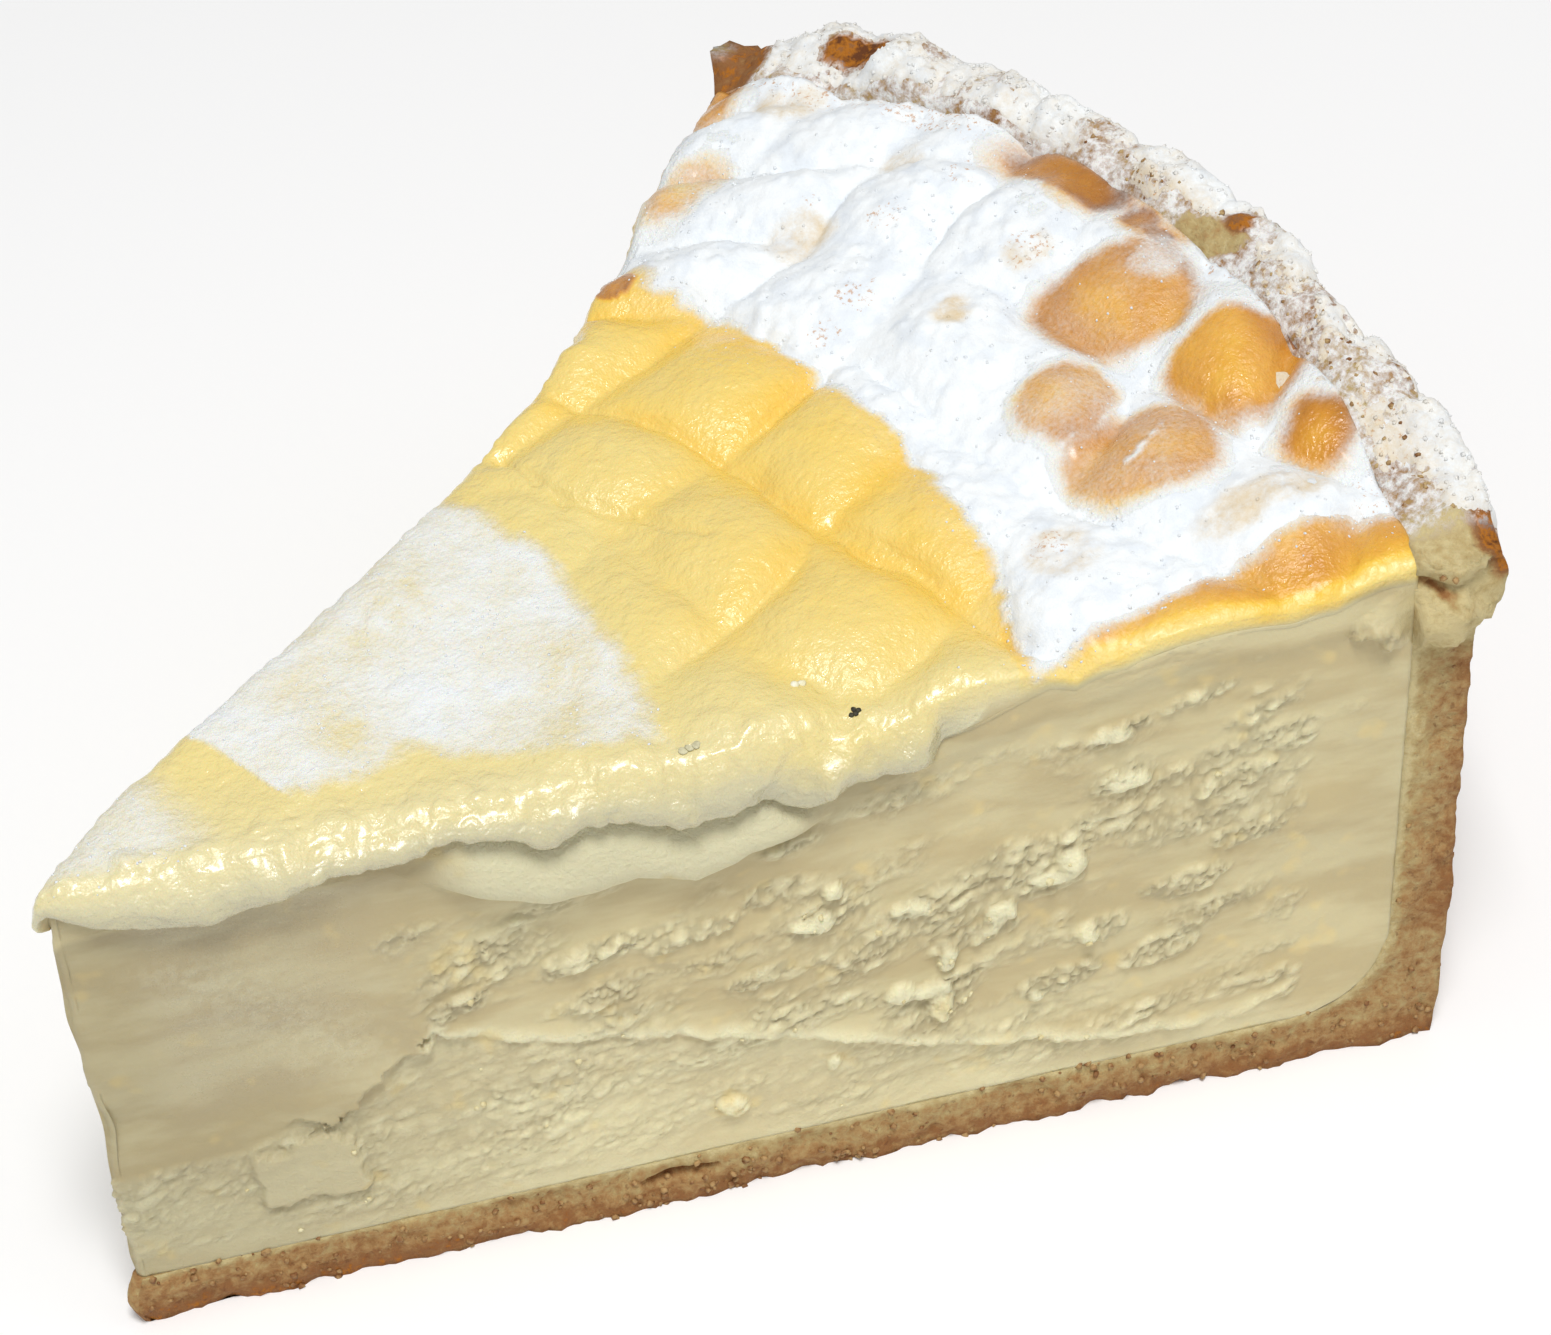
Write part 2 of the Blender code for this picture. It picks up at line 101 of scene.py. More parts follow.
def crags(x: Array, y: Array, z: Array, size: float, seed: float) -> Array:
    """Two sizes of noise together, as in the solids."""
    return 0.65 * noise(x, y, z, size, seed) + 0.35 * noise(x, y, z, size * 0.45, seed + 7)


def fractal(x: Array, y: Array, z: Array, size: float, seed: float, octaves: int = 4) -> Array:
    """Noise with ever finer noise on it.

    Args:
        x, y, z: place in mm.
        size: size of the coarsest features in mm.
        seed: which noise.
        octaves: how many sizes.

    Returns:
        About -1 to 1 at each place.
    """
    total, weight, whole = 0.0, 1.0, 0.0
    for octave in range(octaves):
        total = total + weight * noise(x, y, z, size / 2.03**octave, seed + 13 * octave)
        whole += weight
        weight *= 0.55
    return total / whole * 1.35


def lumps(x: Array, y: Array, size: float, seed: float, share: float) -> Array:
    """Round lumps strewn over a surface.

    Args:
        x, y: place on the surface in mm.
        size: how far apart their places are.
        seed: which strewing.
        share: how many of the places hold a lump.

    Returns:
        0 beside the lumps, up to 1 on top of them.
    """
    u, v = x / size, y / size
    i, j = np.floor(u), np.floor(v)
    best = np.zeros_like(u)
    for di in (-1, 0, 1):
        for dj in (-1, 0, 1):
            a, b = i + di, j + dj
            px = a + 0.15 + 0.7 * cell_value(a, b, 1.0, seed)
            py = b + 0.15 + 0.7 * cell_value(a, b, 2.0, seed)
            held = cell_value(a, b, 3.0, seed) < share
            reach = 0.28 + 0.3 * cell_value(a, b, 4.0, seed)
            near = 1 - ((u - px) ** 2 + (v - py) ** 2) / reach**2
            dome = np.sqrt(np.clip(near, 0, 1)) * (0.55 + 0.45 * cell_value(a, b, 5.0, seed))
            best = np.maximum(best, np.where(held, dome, 0.0))
    return best


def tint(red: float, green: float, blue: float) -> tuple[float, float, float]:
    """A colour as the eye sees it, 0 to 255, as Blender's linear values.

    Args:
        red, green, blue: the colour.

    Returns:
        Its linear values.
    """
    seen = np.array((red, green, blue)) / 255
    linear = np.where(seen <= 0.04045, seen / 12.92, ((seen + 0.055) / 1.055) ** 2.4)
    return tuple(float(v) for v in linear)


@dataclass(frozen=True)
class Patch:
    """A pillow of the baked top that the sugar left bare, as an oval in plan.

    Its bake runs from 0, pale, to 1, dark brown. Its veil is the share of thin sugar on it.
    """

    x: float
    y: float
    long: float
    wide: float
    turn: float
    bake: float = 0.5
    veil: float = 0.0

    def away(self, x: Array, y: Array) -> Array:
        """Way from the middle, 1 at the edge.

        Args:
            x, y: place in plan.

        Returns:
            The way at each place.
        """
        turn = math.radians(self.turn)
        u = (x - self.x) * math.cos(turn) + (y - self.y) * math.sin(turn)
        v = -(x - self.x) * math.sin(turn) + (y - self.y) * math.cos(turn)
        a, b = np.abs(u) / (self.long / 2), np.abs(v) / (self.wide / 2)
        return (a**2.4 + b**2.4) ** (1 / 2.4)


@dataclass(frozen=True)
class SliceShape:
    """The named sizes of the slice, in mm, and the surfaces that follow from them."""

    cake_radius: float = 129.6
    cake_middle_x: float = -0.6
    cake_middle_y: float = 6.4
    slice_angle: float = math.radians(50.5)
    tip_radius: float = 0.8
    tip_reach: float = 0.5
    tip_height: float = 56.0
    inner_ring_radius: float = 57.0
    inner_ring_height: float = 56.7
    outer_ring_radius: float = 89.4
    outer_ring_height: float = 57.8
    outer_ring_swell: float = 1.6
    rim_height_front: float = 61.6
    rim_height_back: float = 56.8
    rim_swell: float = 8.3
    base_thickness: float = 6.0
    wall_thickness: float = 5.7
    inner_corner_radius: float = 10.0
    gap: float = 0.3
    quilt_pitch_out: float = 15.0
    quilt_pitch_across: float = 15.2
    quilt_crease_x: float = 77.0
    quilt_crease_y: float = 3.9
    quilt_height: float = 2.0
    quilt_start_radius: float = 54.0
    rim_groove: float = 1.6
    edge_round: float = 2.6
    bow_depth: float = 8.4
    bow_at: float = 76.0
    bow_reach_in: float = 64.0
    bow_reach_out: float = 55.0
    bow_power: float = 1.3
    bow_share_at_base: float = 0.6
    notch_at: float = 81.0
    notch_depth: float = 1.2
    notch_width: float = 1.8
    lobe_at: float = 87.5
    lobe_depth: float = 0.5
    lobe_width: float = 4.0
    shift_x: float = 65.2
    shift_y: float = 0.9

    @property
    def half_angle(self) -> float:
        """Angle from the middle of the slice to a cut."""
        return self.slice_angle / 2

    @property
    def front_normal(self) -> tuple[float, float]:
        """Way out of the front cut."""
        return -math.sin(self.half_angle), -math.cos(self.half_angle)

    @property
    def back_normal(self) -> tuple[float, float]:
        """Way out of the back cut."""
        return -math.sin(self.half_angle), math.cos(self.half_angle)

    @property
    def wall_inner_radius(self) -> float:
        """Radius of the pastry wall's inner side."""
        return self.cake_radius - self.wall_thickness

    @property
    def curd_radius(self) -> float:
        """Radius of the curd."""
        return self.wall_inner_radius - self.gap

    @property
    def curd_bottom(self) -> float:
        """Height of the curd's underside."""
        return self.base_thickness + self.gap

    def from_middle(self, x: Array, y: Array) -> Array:
        """Way from the middle of the cake."""
        return np.hypot(x - self.cake_middle_x, y - self.cake_middle_y)

    def share_across(self, x: Array, y: Array) -> Array:
        """0 on the front cut, 1 on the back cut."""
        return np.clip((np.arctan2(y, x) + self.half_angle) / self.slice_angle, 0, 1)

    def tip_point(self, across: Array) -> tuple[Array, Array]:
        """Point of the small round at the tip, from the front cut to the back cut.

        Args:
            across: 0 on the front cut to 1 on the back cut.

        Returns:
            x and y.
        """
        turn = -(math.pi / 2 + self.half_angle) - across * (math.pi - self.slice_angle)
        start = self.tip_radius / math.sin(self.half_angle) - self.tip_reach
        return start + self.tip_radius * np.cos(turn), self.tip_radius * np.sin(turn)

    def ring_point(self, across: Array, radius: Array) -> tuple[Array, Array]:
        """Point on a ring of the cake, along the line out from the tip.

        Args:
            across: 0 on the front cut to 1 on the back cut.
            radius: radius of the ring.

        Returns:
            x and y.
        """
        angle = -self.half_angle + across * self.slice_angle
        middle = self.cake_middle_x**2 + self.cake_middle_y**2
        along = np.cos(angle) * self.cake_middle_x + np.sin(angle) * self.cake_middle_y
        reach = along + np.sqrt(along * along - middle + radius * radius)
        return reach * np.cos(angle), reach * np.sin(angle)

    def bow(self, distance: Array, height: Array) -> Array:
        """How far the back cut lies inside its straight line.

        Args:
            distance: way from the tip.
            height: height.

        Returns:
            The bow's depth.
        """
        reach = np.where(distance < self.bow_at, self.bow_reach_in, self.bow_reach_out)
        depth = np.clip(1 - (np.abs(distance - self.bow_at) / reach) ** self.bow_power, 0, 1)
        share = np.clip(height / self.tip_height, 0, 1)
        depth = self.bow_depth * depth * mix(self.bow_share_at_base, 1.0, share)
        skin = smooth((height - 40) / 12)
        depth = depth + skin * self.notch_depth * bump(distance - self.notch_at, self.notch_width)
        return depth - skin * self.lobe_depth * bump(distance - self.lobe_at, self.lobe_width)

    def plan(self, out: Array, across: Array, radius: Array, height: Array) -> tuple[Array, Array]:
        """Point of the slice in plan.

        Args:
            out: 0 at the tip to 1 at the ring.
            across: 0 on the front cut to 1 on the back cut.
            radius: radius of the ring.
            height: height that the back cut's bow is taken at.

        Returns:
            x and y.
        """
        x0, y0 = self.tip_point(across)
        x1, y1 = self.ring_point(across, radius)
        x, y = mix(x0, x1, out), mix(y0, y1, out)
        inward = across * self.bow(np.hypot(x, y), height)
        return x - self.back_normal[0] * inward, y - self.back_normal[1] * inward

    def quilt(self, x: Array, y: Array) -> tuple[Array, Array, Array]:
        """Pillow height between the creases, and the ways to the nearest two creases.

        Args:
            x, y: place in plan.

        Returns:
            The height, 0 to 1, and the ways out and across to a crease.
        """
        out = x - self.quilt_crease_x
        rise = 0.08 * out + 0.0035 * np.maximum(0, out) ** 2
        pitch = self.quilt_pitch_across * (1 - 0.0034 * out)
        side = (y - self.quilt_crease_y - rise) / pitch
        bend = -0.0115 * np.maximum(0, y + 2) ** 2 + 0.0035 * np.maximum(0, -y - 5) ** 2
        ahead = (out - bend) / self.quilt_pitch_out
        aside, away = np.round(side) - side, np.round(ahead) - ahead
        u, v = np.abs(aside) * 2, np.abs(away) * 2
        pillow = np.sqrt((1 - (1 - u) ** 2) * (1 - (1 - v) ** 2))
        return pillow, away * self.quilt_pitch_out, aside * pitch

    def pillows(self, x: Array, y: Array) -> Array:
        """Pillow height as the baked skin has it: the quilt of the solid with soft, uneven creases.

        Args:
            x, y: place in plan.

        Returns:
            The height, 0 to 1.
        """
        warp_x = x + 1.3 * noise(x, y, 0.0, 11.0, 501) + 0.5 * noise(x, y, 0.0, 4.0, 503)
        warp_y = y + 1.3 * noise(x, y, 9.0, 11.0, 505) + 0.5 * noise(x, y, 9.0, 4.0, 507)
        _, away, aside = self.quilt(warp_x, warp_y)
        pitch = self.quilt_pitch_across * (1 - 0.0034 * (x - self.quilt_crease_x))
        u, v = 2 * np.abs(aside) / pitch, 2 * np.abs(away) / self.quilt_pitch_out
        soft = 0.15 + 0.08 * noise(x, y, 0.0, 14.0, 509)
        full = math.sqrt(1 + 0.03) - 0.16
        u, v = ((np.sqrt(way * way + soft**2) - soft) / full for way in (u, v))
        u = mix(u, 0.7, 0.2 * smooth(1.4 * noise(x, y, 0.0, 17.0, 511)))
        v = mix(v, 0.7, 0.2 * smooth(1.4 * noise(x, y, 0.0, 17.0, 513)))
        u, v = np.clip(u, 0, 1), np.clip(v, 0, 1)
        return np.sqrt((1 - (1 - u) ** 2) * (1 - (1 - v) ** 2))

    def skin_height(self, x: Array, y: Array, soft: bool = False) -> Array:
        """Top of the baked skin, without its round at the cuts.

        Args:
            x, y: place in plan.
            soft: whether the creases are soft, as on the skin, or plain, as in the solid.

        Returns:
            Its height.
        """
        radius = self.from_middle(x, y)
        across = self.share_across(x, y)
        swell = np.sin(math.pi * across)
        ring = self.outer_ring_height + self.outer_ring_swell * swell
        inner = mix(self.tip_height, self.inner_ring_height, radius / self.inner_ring_radius)
        band = self.outer_ring_radius - self.inner_ring_radius
        middle = mix(self.inner_ring_height, ring, (radius - self.inner_ring_radius) / band)
        share = (radius - self.outer_ring_radius) / (self.cake_radius - self.outer_ring_radius)
        rim = mix(self.rim_height_front, self.rim_height_back, across) + self.rim_swell * swell
        outer = mix(ring, rim, np.minimum(share, 1.1))
        height = np.where(radius < self.outer_ring_radius, middle, outer)
        height = np.where(radius < self.inner_ring_radius, inner, height)
        start = smooth((radius - self.quilt_start_radius) / 12)
        pillow = 1.3 * (self.pillows(x, y) - 0.62) if soft else self.quilt(x, y)[0] - 0.55
        cut_front = across * np.hypot(x, y) * math.sin(self.slice_angle)
        eased = mix(1.0, 0.35, smooth(1 - cut_front / 7) * smooth((x - 84) / 8)) if soft else 1.0
        height = height + start * self.quilt_height * pillow * eased
        height = height + 0.35 * noise(x, y, 0.0, 9.0, 3)
        return height - self.rim_groove * bump(radius - (self.curd_radius + 0.5), 2.6)

    def edge_drop(self, across: Array, along: Array) -> Array:
        """The round that takes the skin down to each cut.

        Args:
            across: 0 on the front cut to 1 on the back cut.
            along: way from the tip.

        Returns:
            How far down.
        """
        width = along * math.sin(self.slice_angle)
        near = np.minimum(np.minimum(across, 1 - across) * width + 0.25 * self.tip_radius, along)
        left = np.clip(self.edge_round - near, 0, self.edge_round)
        return 0.55 * (self.edge_round - np.sqrt(self.edge_round**2 - left**2))


@dataclass(frozen=True)
class TopPattern:
    """Where the baked top is golden, browned or under sugar, in mm from the tip."""

    shape: SliceShape
    sugar_from_radius: float = 89.6
    tip_sugar_to_radius: float = 57.0
    patches: tuple[Patch, ...] = (
        Patch(112.9, -9.2, 13.8, 11.4, -25, 0.80, 0.14), Patch(100.6, -15.4, 8.5, 7.5, 20, 0.77, 0.36),
        Patch(114.3, -23.6, 11.6, 10.6, 0, 0.76, 0.03), Patch(101.4, -25.0, 12.8, 8.8, -35, 0.77, 0.22),
        Patch(113.7, -34.6, 5.8, 6.0, 20, 0.80, 0.0), Patch(121.7, 7.2, 4.6, 13.4, 4, 0.84, 0.0),
        Patch(121.5, -3.0, 2.8, 3.4, 0, 0.84, 0.1), Patch(121.0, -6.2, 2.0, 2.6, 0, 0.86, 0.2),
        Patch(84.5, 31.0, 3.4, 3.0, 0, 0.86, 0.2), Patch(98.4, 38.4, 8.6, 4.4, 18, 0.66, 0.42),
        Patch(112.5, 50.6, 10.0, 4.4, 27, 0.76, 0.1),
    )
    heaps: tuple[Patch, ...] = (Patch(119.0, -9.0, 6.6, 5.4, 20),)
    faint: tuple[Patch, ...] = (
        Patch(88.4, -28.6, 7.0, 7.0, 0), Patch(104.3, -37.0, 14.0, 5.5, -14), Patch(100.9, 22.7, 7.5, 6.5, 0),
        Patch(101.5, 0.8, 5.0, 4.0, 0), Patch(111.6, 1.6, 5.6, 4.6, 0), Patch(114.7, 41.0, 8.0, 7.5, 0),
        Patch(114.4, 22.7, 5.0, 5.0, 0), Patch(118.5, -31.0, 4.5, 9.0, 25), Patch(117.0, -38.5, 4.5, 9.0, 20),
    )
    speckled: tuple[Patch, ...] = (
        Patch(98.0, 10.5, 6.0, 4.5, 0), Patch(92.8, 9.5, 4.5, 3.5, 0), Patch(106.4, 16.6, 5.0, 4.0, 0),
        Patch(119.0, 16.0, 5.0, 4.0, 0), Patch(114.9, 15.5, 4.0, 4.0, 0), Patch(104.3, 25.4, 2.6, 2.2, 0),
        Patch(121.0, 24.5, 4.0, 5.0, 0), Patch(119.6, 30.5, 3.0, 4.0, 0), Patch(111.6, 1.8, 6.0, 5.0, 0),
        Patch(88.0, -27.0, 5.0, 5.0, 0),
    )

    def front_limit(self, x: Array) -> Array:
        """y of the sugar's edge along the front cut.

        Args:
            x: place in plan.

        Returns:
            Its y.
        """
        places = (79.0, 84.8, 97.9, 104.9, 111.7, 118.0, 122.0, 131.0)
        limits = (-36.6, -37.3, -40.2, -41.2, -45.9, -48.6, -51.0, -54.6)
        return np.interp(x, places, limits)

    def sugar_edge(self, x: Array, y: Array) -> Array:
        """How far inside the outer sugar's edge a place is, in mm, from its two straight limits.

        Args:
            x, y: place in plan.

        Returns:
            The way in, under 0 outside.
        """
        radius = self.shape.from_middle(x, y)
        jag = 1.0 * fractal(x, y, 0.0, 5.0, 201) + 0.45 * noise(x, y, 0.0, 1.1, 207)
        ring = radius - self.sugar_from_radius + jag
        front = (y - self.front_limit(x)) + 0.6 * jag
        return np.minimum(ring, front)

    def bare(self, x: Array, y: Array) -> tuple[Array, Array]:
        """The bare pillows.

        Args:
            x, y: place in plan.

        Returns:
            How far outside the nearest bare pillow a place is, about in mm and under 0 on it, and
            that pillow's veil of thin sugar.
        """
        warp_x = x + 0.9 * noise(x, y, 0.0, 4.0, 211) + 0.35 * noise(x, y, 0.0, 1.2, 213)
        warp_y = y + 0.9 * noise(x, y, 5.0, 4.0, 215) + 0.35 * noise(x, y, 5.0, 1.2, 217)
        nearest = np.full_like(np.asarray(x, float), 50.0)
        veil = np.zeros_like(nearest)
        for patch in self.patches:
            away = (patch.away(warp_x, warp_y) - 1) * min(patch.long, patch.wide) / 2
            veil = np.where(away < nearest, patch.veil, veil)
            nearest = np.minimum(nearest, away)
        streak = bump((warp_y + 24.9) + 0.08 * (warp_x - 102), 0.9)
        streak = streak * smooth((4.2 - np.abs(warp_x - 102)) / 1.4)
        nearest = np.maximum(nearest, mix(-6.0, 1.2, streak))
        for heap in self.heaps:
            nearest = np.maximum(nearest, np.minimum((1 - heap.away(warp_x, warp_y)) * heap.wide / 2, 0.8))
        return nearest, veil

    def within(self, patches: tuple[Patch, ...], x: Array, y: Array, soft: float = 0.6) -> Array:
        """How far inside the nearest of some patches a place is, 0 at an edge to 1.

        Args:
            patches: the patches.
            x, y: place in plan.
            soft: width of their soft edge.

        Returns:
            0 outside to 1 inside.
        """
        total = np.zeros_like(np.asarray(x, float))
        for patch in patches:
            total = np.maximum(total, smooth((1.0 - patch.away(x, y)) / soft + 0.25))
        return total

    def film(self, x: Array, y: Array) -> Array:
        """How white the sugar over the outer part of the top is.

        Args:
            x, y: place in plan.

        Returns:
            0 where there is none to 1 where it lies thick.
        """
        bare, veil = self.bare(x, y)
        cloud = np.clip(0.5 + 0.7 * fractal(x, y, 0.0, 4.0, 241, 4), 0, 1)
        film = smooth((bare + 0.8) / (1.7 + 1.4 * cloud))
        film = np.maximum(film, veil * (0.4 + 0.9 * cloud))
        return film

    def tip_sugar(self, x: Array, y: Array) -> Array:
        """How far inside the thin sugar near the tip a place is, in mm.

        Args:
            x, y: place in plan.

        Returns:
            The way in, under 0 outside.
        """
        places = (-5.0, 16.0, 19.0, 21.0, 22.2, 27.2, 32.8, 38.4, 45.3, 50.1, 60.0)
        limits = (60.0, 60.0, 11.0, 4.0, -5.0, -6.7, -6.4, -12.9, -17.8, -20.6, -24.0)
        radius = self.shape.from_middle(x, y)
        jag = 0.9 * fractal(x, y, 0.0, 5.0, 221) + 0.4 * noise(x, y, 0.0, 1.0, 223)
        front = (y - np.interp(x, places, limits)) * 0.8
        return np.minimum(self.tip_sugar_to_radius - radius, front) + jag

    def bake(self, x: Array, y: Array) -> Array:
        """How browned the skin is, from 0, pale cream, to 1, dark brown.

        Args:
            x, y: place in plan.

        Returns:
            The bake.
        """
        shape = self.shape
        radius = shape.from_middle(x, y)
        width = np.hypot(x, y) * math.sin(shape.slice_angle)
        near_front = shape.share_across(x, y) * width
        bake = np.interp(radius, (0, 20, 50, 66, 80, 90, 124), (0.30, 0.32, 0.35, 0.41, 0.48, 0.55, 0.64))
        bake = bake - 0.12 * smooth(1 - near_front / 12) * (radius < 88)
        bake = bake - 0.10 * smooth(1 - near_front / 3.5)
        strip = smooth((radius - 86) / 8) * smooth(1 - (near_front - 4) / 7)
        deep = bump(x - 103, 12) * bump(near_front - 4.5, 4.0)
        bake = mix(bake, 0.64 + 0.10 * deep + 0.06 * fractal(x, y, 0.0, 2.5, 233), strip)
        _, away, aside = shape.quilt(x, y)
        creased = np.maximum(bump(away - 1.2, 2.2), 0.8 * bump(aside + 1.0, 2.0))
        bake = bake + 0.07 * creased * smooth((radius - 60) / 10)
        for patch in self.patches:
            away = patch.away(x, y)
            browned = patch.bake + 0.06 * (np.minimum(away, 1.1) - 0.65) + 0.07 * fractal(x, y, 0.0, 4.5, 235)
            bake = mix(bake, browned, smooth((1.35 - away) / 0.35))
        bake = bake + 0.045 * fractal(x, y, 0.0, 11.0, 231)
        bake = bake - 0.20 * strip * smooth(1 - near_front / 1.9)
        gutter = smooth((radius - 119.5) / 3) * smooth((near_front - 6) / 6)
        return np.clip(bake + 0.06 * gutter, 0, 1)


class BoxGrid:
    """The surface of a box of grid points, whose sides may be left coarse where nothing shows."""

    def __init__(self, steps: tuple[int, int, int]) -> None:
        """Numbers the points on the six sides.

        Args:
            steps: intervals along each way of the box.
        """
        counts = [step + 1 for step in steps]
        places = np.indices(counts)
        last = np.array(steps).reshape(3, 1, 1, 1)
        on_surface = ((places == 0) | (places == last)).any(axis=0)
        self.index = np.full(counts, -1)
        self.index[on_surface] = np.arange(on_surface.sum())
        self.i, self.j, self.k = (place[on_surface] for place in places)
        self.faces: list[list[int]] = []

    def side(
        self, axis: int, end: int, stride: tuple[int, int] = (1, 1), span: slice = slice(None)
    ) -> None:
        """Adds the faces of a side, or of a span of it along its first way.

        Args:
            axis: which way the side faces.
            end: 0 for the low side and -1 for the high one.
            stride: grid steps for one face, along both ways of the side.
            span: the part of its first way that gets faces.
        """
        sheet = np.take(self.index, end, axis=axis)[span]
        flip = (end == 0) != (axis == 1)
        if stride == (1, 1):
            loop = [sheet[:-1, :-1], sheet[1:, :-1], sheet[1:, 1:], sheet[:-1, 1:]]
            made = np.stack(loop, axis=-1).reshape(-1, 4)
            self.faces += (made[:, ::-1] if flip else made).tolist()
            return
        rows, columns = sheet.shape[0] - 1, sheet.shape[1] - 1
        for i0 in range(0, rows, stride[0]):
            i1 = min(i0 + stride[0], rows)
            for j0 in range(0, columns, stride[1]):
                j1 = min(j0 + stride[1], columns)
                low = range(i0, i1) if j0 == 0 else (i0,)
                right = range(j0, j1) if i1 == rows else (j0,)
                high = range(i1, i0, -1) if j1 == columns else (i1,)
                left = range(j1, j0, -1) if i0 == 0 else (j1,)
                loop = [sheet[i, j0] for i in low] + [sheet[i1, j] for j in right]
                loop += [sheet[i, j1] for i in high] + [sheet[i0, j] for j in left]
                loop = [int(point) for point in loop]
                self.faces.append(loop[::-1] if flip else loop)

    def lid(self, axis: int, end: int) -> None:
        """Closes a flat side that nothing shows of with one face."""
        sheet = np.take(self.index, end, axis=axis)
        self.side(axis, end, (sheet.shape[0], sheet.shape[1]))

    def mesh(self, name: str, points: Array, values: dict[str, Array]) -> bpy.types.Mesh:
        """Makes the mesh in the row's frame.

        Args:
            name: its name.
            points: each grid point's place in mm from the tip.
            values: named value of each point, for the materials.

        Returns:
            The mesh, in metres.
        """
        used = np.unique([point for face in self.faces for point in face])
        renumber = np.full(len(points), -1)
        renumber[used] = np.arange(len(used))
        made = bpy.data.meshes.new(name)
        place = (points[used] - (SHAPE.shift_x, SHAPE.shift_y, 0.0)) * 0.001
        faces = [[int(renumber[point]) for point in face] for face in self.faces]
        made.from_pydata(place.tolist(), [], faces)
        made.shade_smooth()
        for key, value in values.items():
            kept = np.ascontiguousarray(np.broadcast_to(value, len(points))[used], np.float32)
            made.attributes.new(key, "FLOAT", "POINT").data.foreach_set("value", kept)
        return made


SHAPE = SliceShape()
TOP = TopPattern(SHAPE)


class Wiring:
    """Adds nodes to a material, a node group or a Geometry Nodes tree, and links them."""

    def __init__(self, tree: bpy.types.NodeTree) -> None:
        """Keeps the tree that the nodes go into."""
        self.tree = tree

    def add(self, kind: str, sockets: dict | None = None, **settings: object) -> bpy.types.Node:
        """Adds a node.

        Args:
            kind: its type.
            sockets: what goes into its inputs, as a value or another node's output.
            settings: its own settings.

        Returns:
            The node.
        """
        node = self.tree.nodes.new(kind)
        for key, value in settings.items():
            setattr(node, key, value)
        for key, value in (sockets or {}).items():
            socket = node.inputs[key]
            if isinstance(value, Socket):
                self.tree.links.new(value, socket)
            elif socket.type == "RGBA" and len(value) == 3:
                socket.default_value = (*value, 1.0)
            else:
                socket.default_value = value
        return node

    def value(self, name: str) -> Socket:
        """The named value that the mesh holds at each point."""
        return self.add("ShaderNodeAttribute", attribute_name=name).outputs["Fac"]

    def place(self) -> Socket:
        """The place on the piece, in metres."""
        return self.add("ShaderNodeTexCoord").outputs["Object"]

    def math(
        self, operation: str, a: object, b: object = 0.0, c: object = 0.0, clamp: bool = False
    ) -> Socket:
        """The result of a sum of two or three values."""
        node = self.add("ShaderNodeMath", {0: a, 1: b, 2: c}, operation=operation, use_clamp=clamp)
        return node.outputs[0]

    def blend(self, share: object, a: object, b: object) -> Socket:
        """The colour from a to b at a share."""
        return self.add("ShaderNodeMix", {0: share, 6: a, 7: b}, data_type="RGBA").outputs[2]

    def grain(
        self, size: float, detail: float = 3.0, stretch: tuple | None = None, rough: float = 0.55
    ) -> Socket:
        """Noise in the material.

        Args:
            size: size of its features in mm.
            detail: how many finer sizes it has.
            stretch: how much longer its features are along x, y and z.
            rough: how strong the finer sizes are.

        Returns:
            Its value, about 0.3 to 0.7.
        """
        where = self.place()
        if stretch:
            scale = tuple(1 / value for value in stretch)
            where = self.add("ShaderNodeMapping", {"Vector": where, "Scale": scale}).outputs[0]
        inputs = {"Vector": where, "Scale": 1000 / size, "Detail": detail, "Roughness": rough}
        return self.add("ShaderNodeTexNoise", inputs).outputs["Fac"]

    def times(self, a: object, b: object) -> Socket:
        """One value times another."""
        return self.math("MULTIPLY", a, b)

    def feed(self, shader: bpy.types.Node, **values: Socket) -> None:
        """Links values to the shader's inputs of the same names, as in Base_Color."""
        for name, value in values.items():
            self.tree.links.new(value, shader.inputs[name.replace("_", " ")])

    def relief(self, strength: float, depth: float, height: object) -> Socket:
        """The normal of a relief whose depth is in mm."""
        inputs = {"Strength": strength, "Distance": depth * 0.001, "Height": height}
        return self.add("ShaderNodeBump", inputs).outputs[0]

    def steps(self, value: object, low: float, high: float) -> Socket:
        """0 where the value is under low, 1 where it is over high."""
        inputs = {"Value": value, "From Min": low, "From Max": high}
        return self.add("ShaderNodeMapRange", inputs, interpolation_type="SMOOTHSTEP").outputs[0]

    def ramp(self, value: object, stops: tuple) -> Socket:
        """The colour for a value, from stops of (place, colour).

        Args:
            value: the value, 0 to 1.
            stops: the stops.

        Returns:
            The colour.
        """
        node = self.add("ShaderNodeValToRGB", {0: value})
        colours = node.color_ramp.elements
        for number, (place, colour) in enumerate(stops):
            element = colours[number] if number < 2 else colours.new(place)
            element.position = place
            element.color = (*colour, 1.0)
        return node.outputs["Color"]


